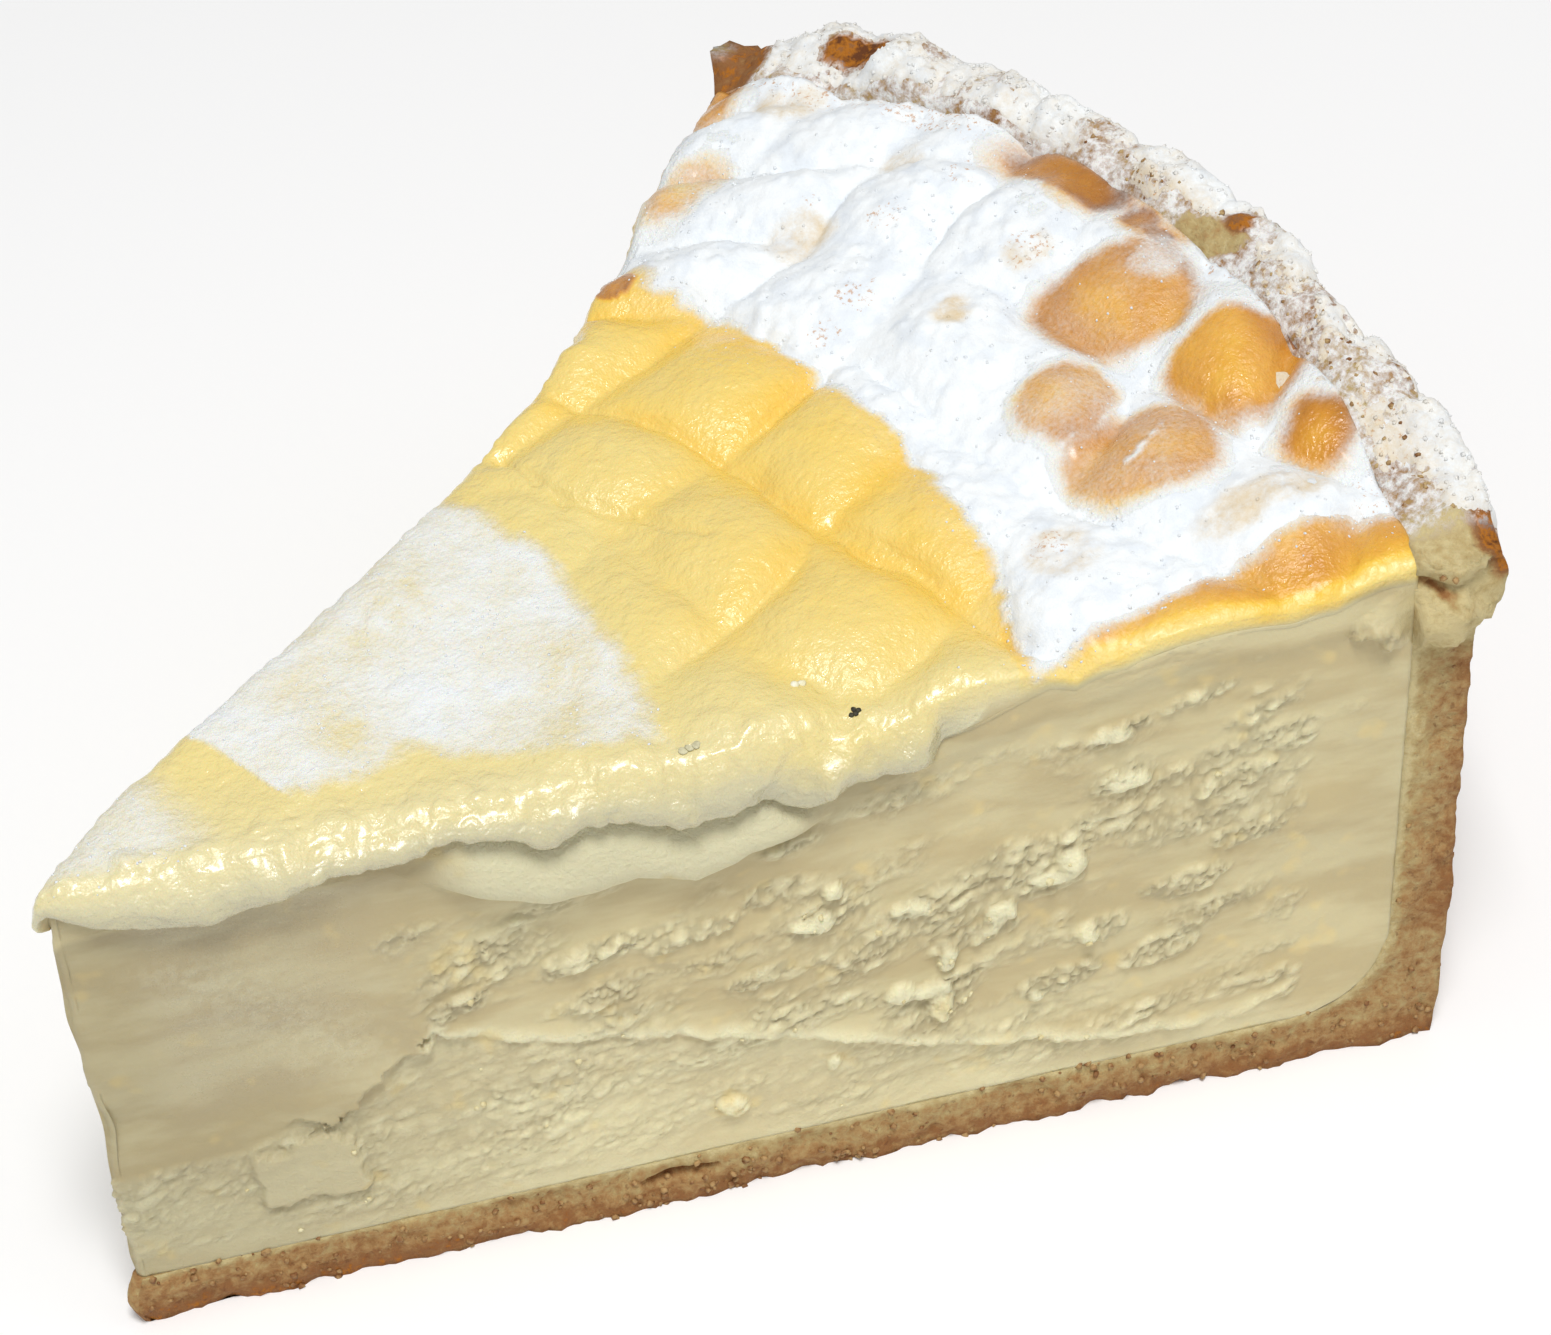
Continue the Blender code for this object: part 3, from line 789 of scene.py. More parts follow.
class Speckle:
    """Node group: a noisy mask that covers a given share of a surface, with crisp small islands."""

    name = "powder_speckle"

    @classmethod
    def group(cls) -> bpy.types.NodeTree:
        """Makes the group, or gives the one that is there.

        Returns:
            The group.
        """
        made = bpy.data.node_groups.get(cls.name)
        if made:
            return made
        made = bpy.data.node_groups.new(cls.name, "ShaderNodeTree")
        sockets = made.interface
        sockets.new_socket("Cover", in_out="INPUT", socket_type="NodeSocketFloat")
        sockets.new_socket("Scale", in_out="INPUT", socket_type="NodeSocketFloat")
        sockets.new_socket("Grain", in_out="INPUT", socket_type="NodeSocketFloat")
        sockets.new_socket("Mask", in_out="OUTPUT", socket_type="NodeSocketFloat")
        wiring = Wiring(made)
        given = wiring.add("NodeGroupInput")
        inputs = {"Vector": wiring.place(), "Scale": given.outputs["Scale"], "Detail": 5.0, "Roughness": 0.7}
        fine = wiring.add("ShaderNodeTexNoise", inputs).outputs["Fac"]
        cover = given.outputs["Cover"]
        between = wiring.times(cover, wiring.math("SUBTRACT", 1.0, cover))
        grain = wiring.times(wiring.math("SUBTRACT", fine, 0.5), given.outputs["Grain"])
        mask = wiring.math("MULTIPLY_ADD", grain, wiring.times(between, 4.0), cover, clamp=True)
        wiring.add("NodeGroupOutput", {"Mask": mask})
        return made

    @classmethod
    def mask(cls, wiring: Wiring, cover: object, size: float, grain: float) -> Socket:
        """The mask in a material, with grains of a size in mm, from soft at grain 0 to crisp at 8.

        Args:
            wiring: the material's wiring.
            cover: the share to cover.
            size: size of the grains in mm.
            grain: how crisp they are.

        Returns:
            The mask, 0 to 1.
        """
        node = wiring.add("ShaderNodeGroup", node_tree=cls.group())
        wiring.tree.links.new(cover, node.inputs["Cover"])
        node.inputs["Scale"].default_value = 1000 / size
        node.inputs["Grain"].default_value = grain
        return node.outputs["Mask"]


@dataclass(frozen=True)
class Gloss:
    """The constants that a finish sets on its shader."""

    roughness: float = 0.5
    specular: float = 0.5
    coat: float = 0.0
    coat_roughness: float = 0.15
    glow: float = 0.0
    glow_depth: float = 2.0
    glow_red: float = 1.0
    glow_green: float = 0.6
    glow_blue: float = 0.3

    def start(self, name: str) -> tuple[bpy.types.Material, bpy.types.Node, Wiring]:
        """Starts a material, with the constants on its shader.

        Args:
            name: its name.

        Returns:
            The material, its shader and the wiring for its nodes.
        """
        made = bpy.data.materials.new(name)
        made.use_nodes = True
        node = made.node_tree.nodes["Principled BSDF"]
        node.inputs["Roughness"].default_value = self.roughness
        node.inputs["Specular IOR Level"].default_value = self.specular
        node.inputs["Coat Weight"].default_value = self.coat
        node.inputs["Coat Roughness"].default_value = self.coat_roughness
        node.inputs["Subsurface Weight"].default_value = self.glow
        node.inputs["Subsurface Radius"].default_value = (self.glow_red, self.glow_green, self.glow_blue)
        node.inputs["Subsurface Scale"].default_value = self.glow_depth * 0.001
        return made, node, Wiring(made.node_tree)


@dataclass(frozen=True)
class CurdFinish:
    """Baked curd with its skin: creamy where it is cut, glossy and golden on top."""

    gloss: Gloss = Gloss(0.42, 0.6, 0.0, 0.16, 0.14, 2.0)
    smear: tuple = tint(198, 181, 135)
    cream: tuple = tint(212, 199, 154)
    fresh: tuple = tint(240, 234, 194)
    egg: tuple = tint(232, 208, 140)
    # Painted shadow colour for the crevice between the lip and the roll.
    lip_crevice_shadow: tuple = tint(150, 134, 84)
    sugar: tuple = tint(241, 244, 243)
    bake_stops: tuple = (
        (0.0, tint(228, 220, 178)),
        (0.2, tint(232, 217, 156)),
        (0.36, tint(236, 216, 140)),
        (0.5, tint(242, 211, 114)),
        (0.62, tint(244, 198, 66)),
        (0.72, tint(228, 168, 52)),
        (0.82, tint(206, 138, 34)),
        (0.92, tint(164, 104, 38)),
        (1.0, tint(112, 66, 26)),
    )

    def material(self) -> bpy.types.Material:
        """Makes the material.

        Returns:
            The material.
        """
        made, shader, wiring = self.gloss.start("baked_curd")
        torn, skin, bake = wiring.value("torn"), wiring.value("skin"), wiring.value("bake")
        drift = wiring.steps(wiring.grain(7.0, 4.0, (2.6, 1.6, 0.7)), 0.40, 0.62)
        face = wiring.blend(drift, self.smear, self.cream)
        # Paler where the curd is freshly torn, also in a painted sheen near the tip.
        face = wiring.blend(torn, face, self.fresh)
        yolky = wiring.times(wiring.steps(wiring.grain(4.5, 2.0), 0.60, 0.74), 0.5)
        face = wiring.blend(yolky, face, self.egg)
        # Painted shadow in the crevice under the lip.
        face = wiring.blend(wiring.times(wiring.value("lip_crevice_shadow"), 0.55), face, self.lip_crevice_shadow)
        # Painted shade and shadow, multiplied into the colour: darker at the tip end, below the roll, between lumps
        # and on the lip.
        shade = wiring.value("shade")
        dim = wiring.add("ShaderNodeCombineColor", {0: shade, 1: shade, 2: shade}).outputs[0]
        wander = wiring.math("SUBTRACT", wiring.grain(3.0, 3.0), 0.5)
        golden = wiring.ramp(wiring.math("MULTIPLY_ADD", wander, 0.09, bake), self.bake_stops)
        colour = wiring.blend(skin, face, golden)
        inputs = {0: 1.0, 6: colour, 7: dim}
        colour = wiring.add("ShaderNodeMix", inputs, data_type="RGBA", blend_type="MULTIPLY").outputs[2]
        dust = Speckle.mask(wiring, wiring.value("dust"), 0.45, 1.2)
        colour = wiring.blend(dust, colour, self.sugar)
        glossy = wiring.math("SUBTRACT", wiring.value("gloss"), dust, clamp=True)
        glints = wiring.steps(wiring.grain(0.6, 3.0, None, 0.7), 0.50, 0.62)
        smoothness = wiring.times(glossy, wiring.math("MULTIPLY_ADD", glints, 0.22, 0.18))
        rough = wiring.math("SUBTRACT", 0.52, smoothness)
        rough = wiring.math("MULTIPLY_ADD", dust, 0.4, rough)
        grainy = wiring.math("MAXIMUM", dust, wiring.times(torn, 0.8))
        grainy = wiring.math("MULTIPLY_ADD", grainy, 1.8, 0.3)
        fine = wiring.times(wiring.grain(0.6, 4.0, None, 0.7), grainy)
        beads = wiring.math("MULTIPLY_ADD", wiring.grain(0.35, 1.0), 0.2, wiring.grain(0.8, 2.0, None, 0.6))
        beads = wiring.math("MULTIPLY_ADD", beads, skin, fine)
        normal = wiring.relief(0.6, 0.4, beads)
        coat = wiring.times(glossy, 0.6)
        wiring.feed(shader, Base_Color=colour, Roughness=rough, Coat_Weight=coat, Normal=normal)
        return made


@dataclass(frozen=True)
class PastryFinish:
    """Shortcrust: crumbly, cream to tan where it is cut, brown where it met the tin and the heat."""

    gloss: Gloss = Gloss(0.78, 0.35, 0.0, 0.2, 0.08, 1.5)
    sugar: tuple = tint(244, 243, 240)
    bake_stops: tuple = (
        (0.0, tint(211, 194, 144)),
        (0.22, tint(190, 167, 115)),
        (0.42, tint(176, 138, 88)),
        (0.58, tint(154, 108, 62)),
        (0.72, tint(148, 98, 54)),
        (0.84, tint(182, 112, 22)),
        (1.0, tint(104, 58, 24)),
    )

    def material(self) -> bpy.types.Material:
        """Makes the material.

        Returns:
            The material.
        """
        made, shader, wiring = self.gloss.start("shortcrust_pastry")
        wander = wiring.math("SUBTRACT", wiring.grain(1.1, 5.0, None, 0.65), 0.5)
        colour = wiring.ramp(wiring.math("MULTIPLY_ADD", wander, 1.0, wiring.value("bake")), self.bake_stops)
        pits = wiring.steps(wiring.grain(0.8, 3.0), 0.60, 0.70)
        pits = wiring.times(pits, wiring.steps(wiring.value("bake"), 0.12, 0.3))
        colour = wiring.blend(wiring.times(pits, 0.45), colour, self.bake_stops[-1][1])
        dust = Speckle.mask(wiring, wiring.value("dust"), 1.1, 4.5)
        colour = wiring.blend(dust, colour, self.sugar)
        crumb = wiring.grain(0.55, 5.0, None, 0.7)
        wiring.feed(shader, Base_Color=colour, Normal=wiring.relief(0.7, 0.5, crumb))
        return made


@dataclass(frozen=True)
class SugarFinish:
    """Powdered sugar: matte white with soft clouds of painted blue-grey shade, warm where it lies thin."""

    gloss: Gloss = Gloss(0.88, 0.3, 0.0, 0.2, 0.12, 1.2, 1.0, 0.95, 0.9)
    white: tuple = tint(245, 249, 251)
    # Painted shade colour for the sugar.
    grey: tuple = tint(218, 226, 236)
    warm: tuple = tint(222, 200, 160)
    brown: tuple = tint(196, 136, 66)

    def material(self) -> bpy.types.Material:
        """Makes the material.

        Returns:
            The material.
        """
        made, shader, wiring = self.gloss.start("powdered_sugar")
        # Painted shade: soft random clouds of blue-grey over the white.
        cloud = wiring.steps(wiring.grain(3.0, 5.0), 0.42, 0.66)
        colour = wiring.blend(wiring.times(cloud, 0.45), self.white, self.grey)
        thin = Speckle.mask(wiring, wiring.value("thin"), 0.6, 1.2)
        colour = wiring.blend(thin, colour, self.warm)
        specks = wiring.math("MULTIPLY_ADD", wiring.value("spots"), 0.17, wiring.grain(0.55, 5.0, None, 0.65))
        specks = wiring.times(wiring.steps(specks, 0.70, 0.80), 0.68)
        colour = wiring.blend(specks, colour, self.brown)
        powder = wiring.grain(0.6, 5.0, None, 0.75)
        wiring.feed(shader, Base_Color=colour, Normal=wiring.relief(0.5, 0.4, powder))
        return made


@dataclass(frozen=True)
class PlainFinish:
    """A finish of two mottled tones, for crumbs, torn curd and specks."""

    name: str
    light: tuple
    dark: tuple
    size: float
    gloss: Gloss = Gloss(0.6, 0.4)

    def material(self) -> bpy.types.Material:
        """Makes the material.

        Returns:
            The material.
        """
        made, shader, wiring = self.gloss.start(self.name)
        share = wiring.steps(wiring.grain(self.size, 3.0), 0.36, 0.64)
        colour = wiring.blend(share, self.light, self.dark)
        fine = wiring.grain(self.size * 0.2, 3.0)
        wiring.feed(shader, Base_Color=colour, Normal=wiring.relief(0.4, 0.2, fine))
        return made


def put_in_scene(
    name: str, mesh: bpy.types.Mesh, material: bpy.types.Material
) -> bpy.types.Object:
    """Makes a piece of the slice.

    Args:
        name: its name.
        mesh: its mesh, in place.
        material: its material.

    Returns:
        The piece, which rides on the slice.
    """
    mesh.materials.clear()
    mesh.materials.append(material)
    piece = bpy.data.objects.new(name, mesh)
    bpy.context.scene.collection.objects.link(piece)
    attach(piece, "root")
    mesh.calc_loop_triangles()
    LOG.info("%s: %d triangles", name, len(mesh.loop_triangles))
    return piece


@dataclass(frozen=True)
class CurdWedge:
    """The curd with its baked skin: the smeared lip and roll, the torn face, the quilted top."""

    shape: SliceShape = SHAPE
    steps_out: int = 440
    steps_across: int = 124
    steps_face: int = 140
    steps_roll: int = 16
    steps_lip: int = 26
    seam: float = 0.27
    lip_bottom: float = 52.2
    lip_thickness: float = 3.0
    lip_end: float = 77.0
    lip_rise_end: float = 101.0
    lip_bottom_at_rim: float = 60.0
    roll_start: float = 31.0
    roll_end: float = 68.0
    roll_thickness: float = 2.1
    back_lip_height: float = 4.5
    back_lip_thickness: float = 1.3
    stroke_relief: float = 0.4
    flakes: tuple = (
        (75.0, 21.5, 3.0, 1.3, 1.1), (76.6, 19.0, 1.3, 2.2, 1.2), (73.3, 22.2, 1.4, 0.9, 0.9),
        (77.4, 25.0, 1.0, 1.6, 1.3), (82.5, 29.6, 1.3, 1.1, 1.0), (89.4, 34.3, 1.2, 1.6, 1.3),
        (87.0, 32.6, 1.8, 0.8, 0.7), (67.2, 37.0, 1.0, 1.0, 1.0), (65.5, 33.4, 2.8, 0.9, 0.8),
        (74.6, 32.4, 2.0, 1.1, 0.9), (56.7, 11.2, 1.8, 1.4, 0.9), (66.4, 14.6, 0.9, 1.2, 0.7),
        (90.8, 24.0, 0.8, 0.8, 0.8), (85.7, 17.4, 0.7, 0.6, 0.7), (94.8, 42.4, 2.2, 0.9, 0.7),
        (92.5, 48.3, 2.0, 0.8, 0.6), (120.8, 54.8, 5.8, 3.1, 2.1),
    )
    clusters: tuple = (
        (35.0, 37.5, 4.0, 1.4), (33.0, 32.5, 2.6, 1.5), (46.0, 35.3, 6.0, 1.3), (54.0, 35.0, 4.5, 1.1),
        (62.0, 38.2, 3.0, 1.1), (63.5, 43.2, 3.2, 1.0), (66.0, 33.2, 4.0, 1.2), (75.0, 32.4, 3.0, 1.3),
        (84.0, 34.0, 3.5, 1.3), (87.0, 31.5, 3.0, 1.0), (94.0, 42.5, 3.0, 1.3), (93.0, 48.3, 3.0, 1.0),
        (97.0, 36.0, 3.0, 1.3), (104.0, 40.0, 4.0, 1.3), (106.0, 33.0, 3.5, 1.5), (100.0, 28.0, 4.0, 1.7),
        (92.0, 24.5, 3.0, 1.5), (70.0, 28.5, 3.0, 1.2), (60.0, 28.3, 3.0, 1.0), (80.0, 27.0, 4.0, 1.3),
        (88.0, 19.0, 4.0, 1.6), (98.0, 20.0, 4.0, 1.7), (45.0, 29.5, 3.0, 0.9), (107.0, 47.5, 3.5, 1.3),
        (101.0, 50.5, 3.5, 0.9),
    )
    front_seed: int = 60
    back_seed: int = 90
    back_start: float = 200.0
    back_length: float = 118.0
    knife_ridge: float = 0.8
    ridge_along: tuple = (0, 15, 18.5, 21, 23.5, 25.8, 27, 28, 31, 40, 50, 60, 70, 80, 90, 100, 120)
    ridge_heights: tuple = (
        20, 21, 22.7, 21.6, 23.6, 25.3, 27.2, 28.9, 29.5, 26, 23.7, 20.8, 16.9, 12.9, 10.6, 9, 7,
    )
    lip_along: tuple = (
        0, 2, 4, 8, 13, 20, 23.7, 29, 34.5, 39.7, 41, 43, 46, 50, 52, 55, 57, 58.7, 59.8,
        61.5, 62.3, 63.2, 64.4, 65.6, 66.6, 67.3, 67.9, 70, 72, 76,
    )
    lip_heights: tuple = (
        55, 53.2, 52, 50.8, 50, 51.8, 53.1, 52.2, 53.8, 53, 51.6, 51.2, 52.6, 51.8, 50.6, 49.9, 50.6, 49.8, 51.0,
        50.8, 50.1, 49.2, 48.6, 48.5, 48.9, 49.8, 50.6, 51.0, 51.2, 51.0,
    )
    roll_along: tuple = (29, 32, 37, 42, 47, 50, 52.7, 55, 58.4, 60, 65, 68, 72, 76)
    roll_heights: tuple = (50.5, 48, 45.6, 43.6, 43.6, 44.4, 43.6, 42.4, 43.6, 44.5, 45.3, 46.2, 48.4, 50.2)
    folds: tuple = (
        ((70.6, 22.0), (71.5, 19.5), (74.0, 13.0), (75.3, 7.6), (76.0, 3.9)),
        ((62.0, 19.5), (62.2, 9.5), (66.0, 3.2), (66.5, -0.5), (68.0, -4.2)),
        ((77.5, -10.0), (79.0, -17.0), (79.5, -22.0)),
    )
    thin_spots: tuple = (
        (44.0, 9.0, 3.6), (37.5, 7.0, 2.6), (49.0, -7.0, 3.2),
        (44.5, -13.5, 4.2), (30.0, -2.0, 2.6), (35.0, -8.5, 2.2),
    )
    roll_shares: tuple = (0.0, 0.07, 0.16, 0.3, 0.5, 0.65, 0.8, 1.0)
    roll_round: tuple = (0.05, 0.55, 0.86, 1.0, 0.93, 0.75, 0.48, 0.12)
    roll_tuck: tuple = (0.7, -0.3, -0.3, 0.0, 0.0, 0.0, 0.0, 0.0)
    lip_shares: tuple = (0.0, 0.05, 0.12, 0.25, 0.45, 0.7, 0.9, 1.0)
    lip_round: tuple = (0.1, 0.62, 0.9, 1.02, 0.98, 0.72, 0.38, 0.2)
    lip_tuck: tuple = (0.7, -0.2, -0.25, 0.0, 0.0, 0.0, 0.0, 0.0)

    def lip_edge(self, along: Array) -> Array:
        """Lower edge of the skin on the front cut, past the lip that hangs over it."""
        rise = smooth((along - self.lip_end) / (self.lip_rise_end - self.lip_end))
        return mix(self.lip_bottom + 0.5 * np.sin(along / 3.1), self.lip_bottom_at_rim, rise)

    def lip_out(self, along: Array) -> Array:
        """How far the lip stands out.

        Args:
            along: way from the tip along the cut.

        Returns:
            The way out in mm.
        """
        end = 1 - smooth((along - self.lip_end + 1.5) / 2.5)
        swell = 0.9 * bump(along - 67.8, 1.7) - 0.6 * bump(along - 63.0, 2.4) - 0.4 * bump(along - 34.0, 5)
        swell = swell + 0.45 * bump(along - 43.5, 2.5) + 0.35 * bump(along - 56.0, 2.5)
        return (self.lip_thickness * mix(0.25, 0.75, smooth(along / 18)) + swell) * end

    def roll_share(self, along: Array) -> Array:
        """How full the roll of curd under the lip is."""
        share = np.clip((along - self.roll_start) / (self.roll_end - self.roll_start), 0, 1)
        return np.sin(math.pi * share) ** 0.7

    def solid_relief(self, along: Array, height: Array, seed: float) -> Array:
        """Knife strokes, as in the solid.

        Args:
            along: way from the tip along the cut.
            height: height.
            seed: which strokes.

        Returns:
            How far they stand out.
        """
        slanted = height + 0.1 * along
        relief = noise(along, 0.0, slanted * 2.2, 19, seed)
        return self.stroke_relief * (relief + 0.6 * noise(along, 0.0, slanted * 1.8, 8, seed + 5))

    def torn_relief(self, along: Array, height: Array, seed: float) -> tuple[Array, Array, Array]:
        """Fine relief of a cut face: dragged ledges, streaks, lumps and smears.

        Args:
            along: way from the tip along the cut.
            height: height.
            seed: which relief.

        Returns:
            How far it stands out in mm, how torn it is, 0 to 1, lighter also in a painted sheen near the tip, and
            the painted shade in the hollows between its lumps, 0 to 1.
        """
        slant = height - 0.24 * along
        jag = fractal(along, 0.0, slant, 3.0, seed + 1, 4)
        drift = slant + 1.2 * fractal(along, 0.0, slant, 14, seed, 2) + 0.3 * jag
        low = smooth((self.ridge_height(along) - height + 0.5 * jag) / 1.2)
        torn = 0.30 + 1.25 * fractal(along / 2.6, 0.0, drift, 3.6, seed + 4, 4)
        calm = smooth((29 - along) / 4) * (1 - low) + smooth((along - 110) / 3) + smooth((9.5 - height) / 2.5)
        torn = torn - 1.1 * calm - 0.6 * smooth((height - 39 - 0.1 * along) / 3)
        torn = mix(torn, 0.45 + 0.35 * torn, low)
        for place, level, long, high in self.clusters:
            place = place if seed == self.front_seed else self.back_start + self.back_length - place
            turned = height - level - 0.22 * (along - place)
            near = np.hypot((along - place) / long, turned / high) + 0.35 * jag
            torn = np.maximum(torn, 1.1 * smooth((1.25 - near) / 0.5))
        torn = np.clip(torn, 0, 1)
        big = lumps(along / 1.9 + 0.4 * jag, drift, 1.35, seed + 31, 0.5)
        mid = lumps(along / 1.5 - 0.3 * jag, drift + 0.4 * jag, 0.85, seed + 33, 0.6)
        small = lumps(along / 1.2, drift, 0.55, seed + 35, 0.65)
        grains = np.maximum(0.52 * big, np.maximum(0.42 * mid, 0.32 * small))
        crest = 1 - np.abs(fractal(along / 2.6, 3.0, drift, 2.2, seed + 6, 4))
        strong = mix(1.0, 0.85, low)
        total = torn * strong * (grains + 0.34 * smooth((crest - 0.55) / 0.45))
        total = total + 0.10 * fractal(along / 4, 5.0, drift, 2.4, seed + 12, 4)
        total = total + 0.10 * fractal(along, 7.0, drift, 1.1, seed + 14, 2) * (0.3 + torn)
        fresh = torn * (0.16 + 0.75 * big * big + 0.5 * mid * mid + 0.3 * small)
        fresh = np.clip(np.maximum(fresh, 0.22 * low + 0.8 * fresh), 0, 1)
        # Painted sheen: a lighter diagonal band of the torn colour near the tip.
        sheen = bump((along - 9) + 0.86 * (height - 46), 5) * smooth((height - 22) / 5) * smooth((47 - height) / 4)
        fresh = np.maximum(fresh, sheen * smooth(0.5 + 1.4 * fractal(along, 0.0, height, 0.6, seed + 16, 3)) * 0.28)
        # Painted shade in the hollows between the lumps.
        pit_shade = torn * np.clip(1 - 2.6 * grains, 0, 1) * mix(1.0, 0.6, low)
        return total - 0.2, fresh, pit_shade

    def ridge_height(self, along: Array) -> Array:
        """Height of the line below which the knife tore the cut deeper."""
        return np.interp(along, self.ridge_along, self.ridge_heights)

    def dragged(self, along: Array, height: Array) -> tuple[Array, Array]:
        """What the knife dragged up on the front cut: larger lumps, two peeled plates and a long ridge.

        Args:
            along: way from the tip along the cut.
            height: height.

        Returns:
            How far it stands out in mm, and how freshly torn it is, 0 to 1.
        """
        total, fresh = np.zeros_like(along), np.zeros_like(along)
        jag = fractal(along, 0.0, height, 2.2, 43, 4)
        for place, level, long, high, out in self.flakes:
            away = np.hypot((along - place) / long, (height - level) / high) + 0.5 * jag
            dome = np.sqrt(np.clip(1.0 - away**2, 0, 1)) * (0.8 + 0.5 * fractal(along, 5.0, height, 1.1, place, 3))
            total = np.maximum(total, out * dome)
            fresh = np.maximum(fresh, smooth(dome * 1.8) * (0.2 if place > 100 else 1.0))
        side = height - self.ridge_height(along) + 1.5 * jag * smooth((36 - along) / 6) + 0.35 * jag
        crest = np.where(side > 0, bump(side, 1.5), bump(side, 0.45)) * (0.75 + 0.5 * jag)
        ridge = smooth((along - 28) / 3) * smooth((116 - along) / 22)
        peeled = smooth((side + 0.1) / 0.22) * np.exp(-np.maximum(side, 0) / 9) * smooth((31 - along) / 2)
        plate = smooth((22.8 - along + 0.8 * jag) / 0.5) * smooth((19.5 - height + 0.9 * jag) / 0.5)
        plate = plate * smooth((height - 11.8 + 0.8 * jag) / 0.6) * smooth((along - 12.5 + 1.2 * jag) / 0.8)
        total = total + self.knife_ridge * ridge * crest + 0.7 * peeled * smooth((along - 15) / 4) + 0.7 * plate
        fresh = np.maximum(fresh, 0.85 * ridge * bump(side - 0.2, 0.8) + 0.4 * plate)
        return total, np.clip(fresh, 0, 1)

    def rows(self) -> tuple[Array, Array]:
        """Part and share of each row of a cut: the face, the roll and the lip.

        Returns:
            Both, row by row.
        """
        low = (np.arange(self.steps_face) / self.steps_face) ** 1.04 * 0.99
        roll = np.arange(self.steps_roll) / self.steps_roll
        lip = np.linspace(0, 1, self.steps_lip + 1)
        part = np.repeat([0, 1, 2], [len(low), len(roll), len(lip)])
        return part, np.concatenate([low, roll**1.25, lip**1.2])

    def across_levels(self) -> Array:
        """Shares across the slice, closer together at the cuts.

        Returns:
            The shares.
        """
        edge = np.array((0, 0.0022, 0.005, 0.0085, 0.0125, 0.0175, 0.0235, 0.031, 0.040, 0.051, 0.064, 0.08))
        inner = np.linspace(0.08, 0.92, self.steps_across + 1)[1:-1]
        return np.concatenate([edge, inner, 1 - edge[::-1]])

    def top_detail(self, x: Array, y: Array) -> Array:
        """Fine wrinkles and folds of the skin, on top of its pillows.

        Args:
            x, y: place in plan.

        Returns:
            Their height in mm.
        """
        folds = np.zeros_like(x)
        for line in self.folds:
            for (x0, y0), (x1, y1) in zip(line, line[1:]):
                long = math.hypot(x1 - x0, y1 - y0)
                on = np.clip(((x - x0) * (x1 - x0) + (y - y0) * (y1 - y0)) / long**2, 0, 1)
                away = np.hypot(x - mix(x0, x1, on), y - mix(y0, y1, on))
                folds = np.maximum(folds, bump(away + 0.3 * noise(x, y, 0.0, 2.0, 311), 0.5))
        ripple = 0.16 * fractal(x, y, 0.0, 5.0, 305) + 0.075 * fractal(x, y, 0.0, 1.3, 307, 2)
        return ripple - 0.5 * folds

    def surface(self, out: Array, across: Array, row: Array, is_top: Array) -> tuple[Array, dict[str, Array]]:
        """Points of the curd's surface.

        Args:
            out: 0 at the tip to 1 at the pastry wall.
            across: 0 on the front cut to 1 on the back cut.
            row: row of a cut, from its foot to the top.
            is_top: where the point is on the top.

        Returns:
            The points, and the named values for the material.
        """
        shape = self.shape
        parts, shares = self.rows()
        part, share = parts[row], shares[row]
        rim_radius = shape.curd_radius + self.seam
        flat_x, flat_y = shape.plan(out, across, rim_radius, shape.tip_height)
        along = np.hypot(flat_x, flat_y)
        top = shape.skin_height(flat_x, flat_y, True) - shape.edge_drop(across, along)
        to_wall = shape.from_middle(flat_x, flat_y) - shape.curd_radius
        top = top + 1.3 * shape.rim_groove * 0.6 * bump(to_wall - 0.5, 2.6)
        back = top - self.back_lip_height - 0.6 * np.sin(along / 4.3)
        ragged = 0.3 * noise(along, 0.0, 0.0, 1.5, 521) + 0.2 * noise(along, 0.0, 0.0, 0.8, 523)
        ragged = ragged * smooth((along - 20) / 8)
        hanging = smooth((78 - along) / 1.6)
        edge = mix(self.lip_edge(along), np.interp(along, self.lip_along, self.lip_heights) + ragged, hanging)
        lip = np.minimum(mix(edge, back, across), top - 1.6)
        curled = np.interp(along, self.roll_along, self.roll_heights) + 0.12 * noise(along, 0.0, 0.0, 1.7, 525)
        roll = np.minimum(mix(mix(lip - 2, curled, hanging), back - 3, across), lip - 0.5)
        keys = np.stack([np.full_like(top, shape.curd_bottom - self.seam), roll, lip, top])
        number = np.arange(len(top))
        height = mix(keys[part, number], keys[part + 1, number], share)
        front = 1 - across
        curl = front * smooth(self.roll_share(along) * 1.5)
        tuck = np.where(part == 1, np.interp(share, self.roll_shares, self.roll_tuck) * curl, 0.0)
        lip_share = np.interp(share, self.lip_shares, self.lip_tuck)
        tuck = tuck + np.where(part == 2, lip_share * smooth(self.lip_out(along) / 1.6) * front, 0.0)
        rise = height - keys[0]
        corner = shape.inner_corner_radius - shape.gap
        left = np.clip(corner - rise, 0, corner)
        inset = np.where(rise < corner, corner - np.sqrt(corner**2 - left**2), 0.0)
        x, y = shape.plan(out * (1 - inset / rim_radius), across, rim_radius, height)
        along = np.hypot(x, y)

